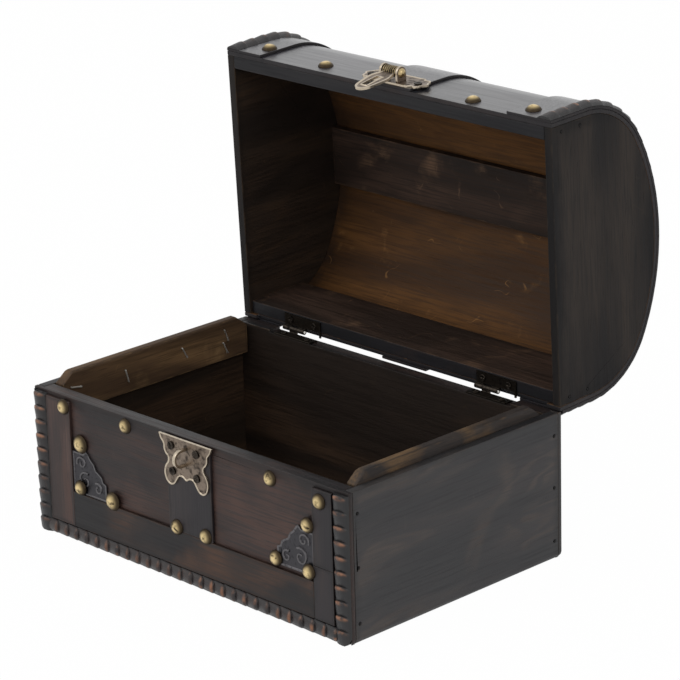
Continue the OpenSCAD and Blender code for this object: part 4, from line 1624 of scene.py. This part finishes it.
@dataclass(frozen=True)
class Curl:
    """A spiral of an ornament: its centre and radius are shares of the plate, its angles degrees."""

    across: float
    up: float
    radius: float
    start: float
    turn: float
    knots: int = 36
    narrowing: float = 0.8
    thinning: float = 0.35

    def wind(self, size: float, side: float, corner: Vector, line: float) -> Piece:
        """Winds the curl as a half-sunk round bead.

        Args:
            size: The plate's length.
            side: 1 or -1, for the plate's hand.
            corner: The plate's square corner, on its sunk face.
            line: The bead's radius where it starts.

        Returns:
            The curl, in its place.
        """
        curve = bpy.data.curves.new("curl", "CURVE")
        curve.dimensions = "3D"
        curve.bevel_depth = line
        curve.bevel_resolution = 2
        curve.use_fill_caps = True
        spline = curve.splines.new("POLY")
        spline.points.add(self.knots)
        for index, knot in enumerate(spline.points):
            share = index / self.knots
            angle = math.radians(self.start + self.turn * share)
            reach = self.radius * size * (1.0 - self.narrowing * share)
            x = self.across * size + reach * math.cos(angle)
            z = self.up * size + reach * math.sin(angle)
            knot.co = (corner.x + side * x, corner.y, corner.z + z, 1.0)
            knot.radius = 1.0 - self.thinning * share
        return as_mesh(new_object("curl", curve))


@dataclass
class CornerOrnaments:
    """The embossed corner plates, with scrolls of plain curls."""

    rim: float = 0.8 * MM
    sunk: float = 0.22 * MM
    line: float = 0.65 * MM
    curls: tuple[Curl, ...] = (
        Curl(0.27, 0.66, 0.15, 200.0, -420.0),
        Curl(0.36, 0.30, 0.19, 60.0, 430.0),
        Curl(0.74, 0.22, 0.13, 120.0, -400.0),
    )

    def build(self) -> None:
        """Builds and dresses both plates."""
        for node, side in (("left_ornament", 1.0), ("right_ornament", -1.0)):
            low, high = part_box(node)
            plate = merged_copy(node, f"{node}_embossed")
            sink_face(plate, lambda face: face.normal.y < -0.99, self.rim, self.sunk, even=True)
            corner = Vector((low.x if side > 0 else high.x, low.y + self.sunk, low.z))
            scrolls = [curl.wind(high.x - low.x, side, corner, self.line) for curl in self.curls]
            finishes = (PEWTER_RIM.material(f"{node}_rim", Body.CHEST), PEWTER.material(node, Body.CHEST))
            for piece in (plate, *scrolls):
                dress(piece, *finishes)
            plate = join([plate, *scrolls], plate.name)
            smooth(plate, degrees=40.0)
            enrol(plate, Body.CHEST, Slot.PEWTER, node)


def mirrored(half: Sequence[Point]) -> list[Point]:
    """Closes a half outline, given from its upper to its lower middle, by its mirror image."""
    other = [(-x, y) for x, y in reversed(half) if abs(x) > TINY]
    return list(half) + other


def scaled(points: Sequence[Point]) -> list[Point]:
    """Turns points in millimetres into metres."""
    return [(x * MM, y * MM) for x, y in points]


def half_turn(radius: float, steps: int) -> list[Point]:
    """Points along a half circle about the origin, from +X over +Y to -X."""
    turns = [math.pi * step / steps for step in range(steps + 1)]
    return [(radius * math.cos(turn), radius * math.sin(turn)) for turn in turns]


@dataclass
class Fastener:
    """A CAD node of small metal pieces, softened and dressed as it is."""

    node: str
    body: Body
    slot: Slot = Slot.BRONZE
    finish: MetalFinish = DARK_BRONZE
    edge: float = 0.12 * MM

    def place(self) -> None:
        """Builds the pieces, dresses them and puts them on their body."""
        piece = merged_copy(self.node, f"{self.node}_metal")
        soften(piece, self.edge, segments=1)
        dress(piece, self.finish.material(self.node, self.body))
        enrol(piece, self.body, self.slot, self.node)


@dataclass
class Catch:
    """The scalloped catch plate, its padlock staple and its screws.

    The outline is half of the plate, in millimetres, from the middle of its straight top edge down.
    """

    rim: float = 0.6 * MM
    strap: float = 1.4 * MM
    strap_edge: float = 0.4 * MM
    root: float = 0.3 * MM
    reach: float = 7.6 * MM
    outline: tuple[Point, ...] = (
        (0.0, 0.0), (18.4, 0.0), (17.3, -2.6), (15.4, -5.0), (15.2, -7.4), (14.2, -9.4), (12.5, -11.2),
        (12.6, -13.2), (14.1, -15.2), (15.2, -18.0), (15.0, -21.2), (13.2, -24.0), (10.6, -24.8),
        (8.2, -23.6), (6.4, -21.2), (4.8, -19.4), (2.6, -19.2), (0.0, -20.4),
    )

    def build(self) -> None:
        """Builds and dresses the catch."""
        low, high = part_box("catch_plate")
        casting = Casting(high.y - low.y, self.rim)
        outline = mirrored(scaled(self.outline))
        top = {point for point in outline if point[1] == 0.0}
        plate = casting.plate("catch_plate_cast", [outline], top)
        settle(plate, Matrix.Translation(((low.x + high.x) / 2, high.y, high.z)) @ TO_FRONT)
        dress(plate, RUBBED.material("catch_rim", Body.CHEST), BRONZE.material("catch_face", Body.CHEST))
        enrol(plate, Body.CHEST, Slot.BRONZE, "catch_plate")
        self._staple(high.y - casting.thickness)
        Fastener("catch_screws", Body.CHEST).place()

    def _staple(self, face: float) -> None:
        """The padlock staple: a bowed strap with both legs in the plate.

        Args:
            face: Where the plate's face is, along Y.
        """
        low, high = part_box("catch_staple")
        outer = (high.z - low.z) / 2
        inner = outer - self.strap
        bend = self.reach - outer
        arc = [(-x, bend + y) for x, y in half_turn(outer, steps=12)]
        hole = [(x, bend + y) for x, y in half_turn(inner, steps=12)]
        outline = [(-outer, -self.root), *arc, (outer, -self.root)]
        outline += [(inner, -self.root), *hole, (-inner, -self.root)]
        strap = outline_plate("catch_staple_bowed", [outline], set(outline), high.x - low.x)
        soften(strap, self.strap_edge, clamp=True)
        settle(strap, edgewise(low.x, face, (low.z + high.z) / 2))
        dress(strap, RUBBED.material("staple", Body.CHEST))
        enrol(strap, Body.CHEST, Slot.BRONZE, "catch_staple")


@dataclass
class Hasp:
    """The hasp's plate with its ears, its rivet, its screws and its swinging tongue.

    The outlines are halves, in millimetres, from the upper to the lower middle.
    """

    rim: float = 0.7 * MM
    lean: float = math.radians(7.5)
    ear_r: float = 3.2 * MM
    ear_t: float = 1.5 * MM
    ear_x: float = 4.7 * MM
    ear_foot: float = 4.5 * MM
    ear_taper: float = 0.1 * MM
    ear_edge: float = 0.35 * MM
    tongue: Casting = Casting(1.2 * MM, rim=0.9 * MM, sunk=0.25 * MM)
    barrel_length: float = 9 * MM
    barrel_r: float = 2.8 * MM
    barrel_bore: float = 1.26 * MM
    bore_share: float = 1.05
    barrel_sides: int = 40
    coils: int = 7
    coil: tuple[float, ...] = (0.76, 0.84, 0.98, 1.0, 0.98, 0.84)
    ridge_share: float = 0.93
    plate_half: tuple[Point, ...] = (
        (0.0, 14.0), (11.0, 14.0), (13.2, 14.0), (14.6, 12.7), (17.2, 12.9), (18.8, 11.2), (19.4, 9.4),
        (21.0, 7.2), (19.4, 5.0), (18.8, 3.0), (17.2, 1.1), (14.6, 1.3), (13.2, 0.0), (11.0, 0.0),
        (0.0, 0.0),
    )
    tongue_half: tuple[Point, ...] = (
        (0.0, -0.8), (4.4, -0.8), (4.5, -4.2), (5.6, -7.0), (6.2, -9.6), (5.9, -13.2), (5.1, -17.6),
        (4.2, -21.2), (2.4, -23.6), (0.0, -24.3),
    )
    slot_half: tuple[Point, ...] = ((0.0, -9.2), (1.7, -9.2), (1.7, -19.6), (0.0, -19.6))

    def build(self) -> None:
        """Builds and dresses the hasp."""
        pivot = HINGE.closing() @ Vector(joint_of("tongue_pivot")["pos_m"])
        self._plate(pivot)
        self._tongue(pivot)
        Fastener("hasp_screws", Body.LID).place()
        pin = merged_copy("hasp_pin", "hasp_pin_head")
        smooth(pin, degrees=50.0)
        dress(pin, RIVET.material("hasp_pin", Body.LID))
        enrol(pin, Body.LID, Slot.BRASS, "hasp_pin")

    def _plate(self, pivot: Vector) -> None:
        """The plate, cast with its two ears.

        Args:
            pivot: The rivet's middle on the closed lid.
        """
        low, high = node_box("hasp_plate", Body.LID)
        catch_low, catch_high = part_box("catch_plate")
        outline = mirrored(scaled(self.plate_half))
        middle = {point for point in outline if point[0] == 0.0}
        casting = Casting(catch_high.y - catch_low.y, self.rim)
        plate = casting.plate("hasp_plate_cast", [outline], middle)
        place = Matrix.Translation(((low.x + high.x) / 2, high.y, low.z)) @ TO_FRONT
        settle(plate, HINGE.opening() @ place)
        finishes = (RUBBED.material("hasp_rim", Body.LID), BRONZE.material("hasp_face", Body.LID))
        ears = self._ears(pivot)
        for piece in (plate, *ears):
            dress(piece, *finishes)
        plate = join([plate, *ears], plate.name)
        enrol(plate, Body.LID, Slot.BRONZE, "hasp_plate")

    def _ears(self, pivot: Vector) -> list[Piece]:
        """The two round-topped ears that hold the rivet.

        Args:
            pivot: The rivet's middle on the closed lid.

        Returns:
            Both ears, in their place on the open lid.
        """
        foot = [(self.ear_taper - self.ear_r, -self.ear_foot), (self.ear_r, -self.ear_foot)]
        outline = [*half_turn(self.ear_r, steps=10), *foot]
        ears = []
        for x in (pivot.x - self.ear_x - self.ear_t, pivot.x + self.ear_x):
            ear = outline_plate("ear", [outline], set(outline), self.ear_t)
            for face in ear.data.polygons:
                face.material_index = int(abs(face.normal.z) > 0.9)
            soften(ear, self.ear_edge, clamp=True)
            settle(ear, HINGE.opening() @ edgewise(x, pivot.y, pivot.z))
            ears.append(ear)
        return ears

    def _tongue(self, pivot: Vector) -> None:
        """The slotted tongue on its coiled barrel.

        Args:
            pivot: The rivet's middle on the closed lid.
        """
        outline = mirrored(scaled(self.tongue_half))
        slot = mirrored(scaled(self.slot_half))
        corners = {point for point in slot if point[0]} | {outline[1], outline[-1]}
        plate = self.tongue.plate("tongue_plate", [outline, slot], corners)
        settle(plate, Matrix.Translation((0.0, 0.0, -self.tongue.thickness / 2)))
        dress(
            plate, RUBBED.material("tongue_rim", Body.TONGUE), BRONZE.material("tongue_face", Body.TONGUE)
        )
        barrel = self._barrel()
        smooth(barrel, degrees=60.0)
        # Painted shade: the grooves between the coils wear a darker bronze than the ridges.
        dress(
            barrel, RIVET.material("barrel_ridge", Body.TONGUE),
            DARK_BRONZE.material("barrel_groove", Body.TONGUE),
        )
        tongue = join([plate, barrel], "hasp_tongue_cast")
        place = Matrix.Translation(pivot) @ Matrix.Rotation(self.lean, 4, "X") @ TO_FRONT
        settle(tongue, HINGE.opening() @ place)
        enrol(tongue, Body.TONGUE, Slot.BRONZE, "hasp_tongue")

    def _barrel(self) -> Piece:
        """Models the barrel: a sleeve with coil-like ridges, along X.

        Returns:
            The barrel, centred on the origin, its grooves in the second material slot.
        """
        half = self.barrel_length / 2
        steps = self.coils * len(self.coil)
        bpy.ops.object.select_all(action="DESELECT")
        bpy.ops.mesh.primitive_circle_add(
            vertices=self.barrel_sides, radius=self.barrel_r * self.coil[0], fill_type="NOTHING",
            location=(-half, 0.0, 0.0), rotation=(0.0, math.pi / 2, 0.0),
        )
        barrel = bpy.context.active_object
        apply_place(barrel)
        with editing(barrel):
            for index in range(steps):
                extrude(x=self.barrel_length / steps)
                ratio = self.coil[(index + 1) % len(self.coil)] / self.coil[index % len(self.coil)]
                self._widen(ratio, -half + (index + 1) * self.barrel_length / steps)
            for end in (-half, half):
                pick_rim(barrel, end)
                extrude()
                self._widen(self.barrel_bore / (self.barrel_r * self.coil[0]), end)
            pick(barrel, Part.EDGES, lambda edge: edge.is_boundary)
            bpy.ops.mesh.bridge_edge_loops()
        outward(barrel)
        for face in barrel.data.polygons:
            radius = math.hypot(face.center.y, face.center.z)
            in_bore = radius <= self.barrel_bore * self.bore_share
            on_ridge = radius >= self.barrel_r * self.ridge_share
            face.material_index = int(not in_bore and not on_ridge)
        return barrel

    @staticmethod
    def _widen(ratio: float, x: float) -> None:
        """Scales the selected ring, which lies at one place along X."""
        bpy.ops.transform.resize(value=(1.0, ratio, ratio), center_override=(x, 0.0, 0.0))


@dataclass
class Ironwork:
    """The hinges, their pins and screws, the nails and the staples."""

    sides: tuple[str, ...] = ("left", "right")

    def build(self) -> None:
        """Dresses each small metal node."""
        for side in self.sides:
            Fastener(f"{side}_hinge_chest_leaf", Body.CHEST).place()
            Fastener(f"{side}_hinge_lid_leaf", Body.LID).place()
            Fastener(f"{side}_hinge_pin", Body.CHEST, Slot.STEEL, STEEL).place()
        Fastener("hinge_chest_screws", Body.CHEST).place()
        Fastener("hinge_lid_screws", Body.LID).place()
        Fastener("chest_brads", Body.CHEST, Slot.IRON, IRON).place()
        Fastener("lid_brads", Body.LID, Slot.IRON, IRON).place()
        Fastener("batten_staples", Body.CHEST, Slot.STEEL, STEEL).place()


@dataclass
class Camera:
    """The view of the chest, from its right front corner."""

    lens: float = 176.32
    azimuth: float = math.radians(45.85)
    elevation: float = math.radians(18.89)
    distance: float = 1.60106
    roll: float = math.radians(-1.56)
    target: tuple[float, float, float] = (0.01906, 0.01403, 0.10548)
    nearest: float = 0.05

    def build(self) -> None:
        """Puts the camera in the scene."""
        level = math.cos(self.elevation)
        back = Vector((
            math.sin(self.azimuth) * level, -math.cos(self.azimuth) * level, math.sin(self.elevation)
        ))
        right = (-back).cross(Vector((0.0, 0.0, 1.0))).normalized()
        up = right.cross(-back)
        turned = math.cos(self.roll) * right + math.sin(self.roll) * up
        tilted = -math.sin(self.roll) * right + math.cos(self.roll) * up
        data = bpy.data.cameras.new("camera")
        data.lens = self.lens
        data.clip_start = self.nearest
        camera = new_object("camera", data)
        axes = Matrix((turned, tilted, back)).transposed().to_4x4()
        camera.matrix_world = Matrix.Translation(Vector(self.target) + back * self.distance) @ axes
        bpy.context.scene.camera = camera


@dataclass
class Lamp:
    """One soft square lamp that looks at the chest."""

    name: str
    place: tuple[float, float, float]
    size: float
    power: float
    aim: tuple[float, float, float] = (0.0, 0.0, 0.1)

    def build(self) -> None:
        """Puts the lamp in the scene."""
        data = bpy.data.lights.new(self.name, "AREA")
        data.shape = "SQUARE"
        data.size = self.size
        data.energy = self.power
        lamp = new_object(self.name, data)
        lamp.location = self.place
        look = Vector(self.aim) - Vector(self.place)
        lamp.rotation_euler = look.to_track_quat("-Z", "Y").to_euler()


@dataclass
class Studio:
    """A pale floor, a white surround and soft lamps."""

    ambient: float = 0.75
    bleach: float = 0.985
    floor_size: float = 12.0
    floor_drop: float = 0.1 * MM
    floor_paint: Colour = (0.86, 0.86, 0.86)
    white: Colour = (1.0, 1.0, 1.0)
    lamps: tuple[Lamp, ...] = (
        Lamp("key_lamp", (-0.7, -1.3, 1.5), 1.0, 7.0),
        Lamp("fill_lamp", (1.6, -0.4, 1.0), 1.0, 4.0),
    )

    def build(self) -> None:
        """Lights the scene and lays the floor."""
        bpy.context.scene.view_settings.view_transform = "Standard"
        for lamp in self.lamps:
            lamp.build()
        self._surround()
        self._floor()

    @staticmethod
    def _seen(tree: Tree) -> Socket:
        """Adds a value that tells looking from lighting.

        Args:
            tree: The tree of the world or the floor.

        Returns:
            1 where the eye, or a glossy or clear surface, looks; 0 for light that falls.
        """
        rays = tree.add("LightPath").outputs
        seen = tree.maths("ADD", rays["Is Camera Ray"], rays["Is Glossy Ray"])
        inputs = {0: seen, 1: rays["Is Transmission Ray"]}
        return tree.add("Math", inputs, operation="ADD", use_clamp=True).outputs[0]

    def _surround(self) -> None:
        """A white world that lights plainly."""
        world = bpy.data.worlds.new("surround")
        bpy.context.scene.world = world
        world.use_nodes = True
        tree = Tree(world.node_tree)
        strength = tree.maths("MULTIPLY_ADD", self._seen(tree), 1.0 - self.ambient, self.ambient)
        light = tree.add("Background", {"Color": self.white, "Strength": strength})
        tree.add("OutputWorld", {"Surface": light.outputs[0]})

    def _floor(self) -> None:
        """A white floor that keeps a soft shadow."""
        bpy.ops.object.select_all(action="DESELECT")
        bpy.ops.mesh.primitive_plane_add(size=self.floor_size, location=(0.0, 0.0, -self.floor_drop))
        floor = bpy.context.active_object
        floor.name = "floor"
        material = bpy.data.materials.new("floor_paint")
        material.use_nodes = True
        tree = Tree(material.node_tree)
        paint = tree.add("BsdfDiffuse", {"Color": self.floor_paint})
        glow = tree.add("Emission", {"Color": self.white, "Strength": 1.0})
        share = tree.maths("MULTIPLY", self._seen(tree), self.bleach)
        mixed = tree.add("MixShader", {0: share, 1: paint.outputs[0], 2: glow.outputs[0]})
        tree.add("OutputMaterial", {"Surface": mixed.outputs[0]})
        dress(floor, material)


def main() -> None:
    """Builds the scene, one sub-assembly after the other."""
    logging.basicConfig(level=logging.INFO, format="%(name)s: %(message)s")
    Camera().build()
    Studio().build()
    assemblies = (
        ChestCase(), FrontFacing(), LidShell(), ChestMouldings(), LidMouldings(), Studs(), CornerOrnaments(),
        Catch(), Hasp(), Ironwork(),
    )
    for assembly in assemblies:
        log.info("building %s", type(assembly).__name__)
        assembly.build()


if __name__ == "__main__":
    main()
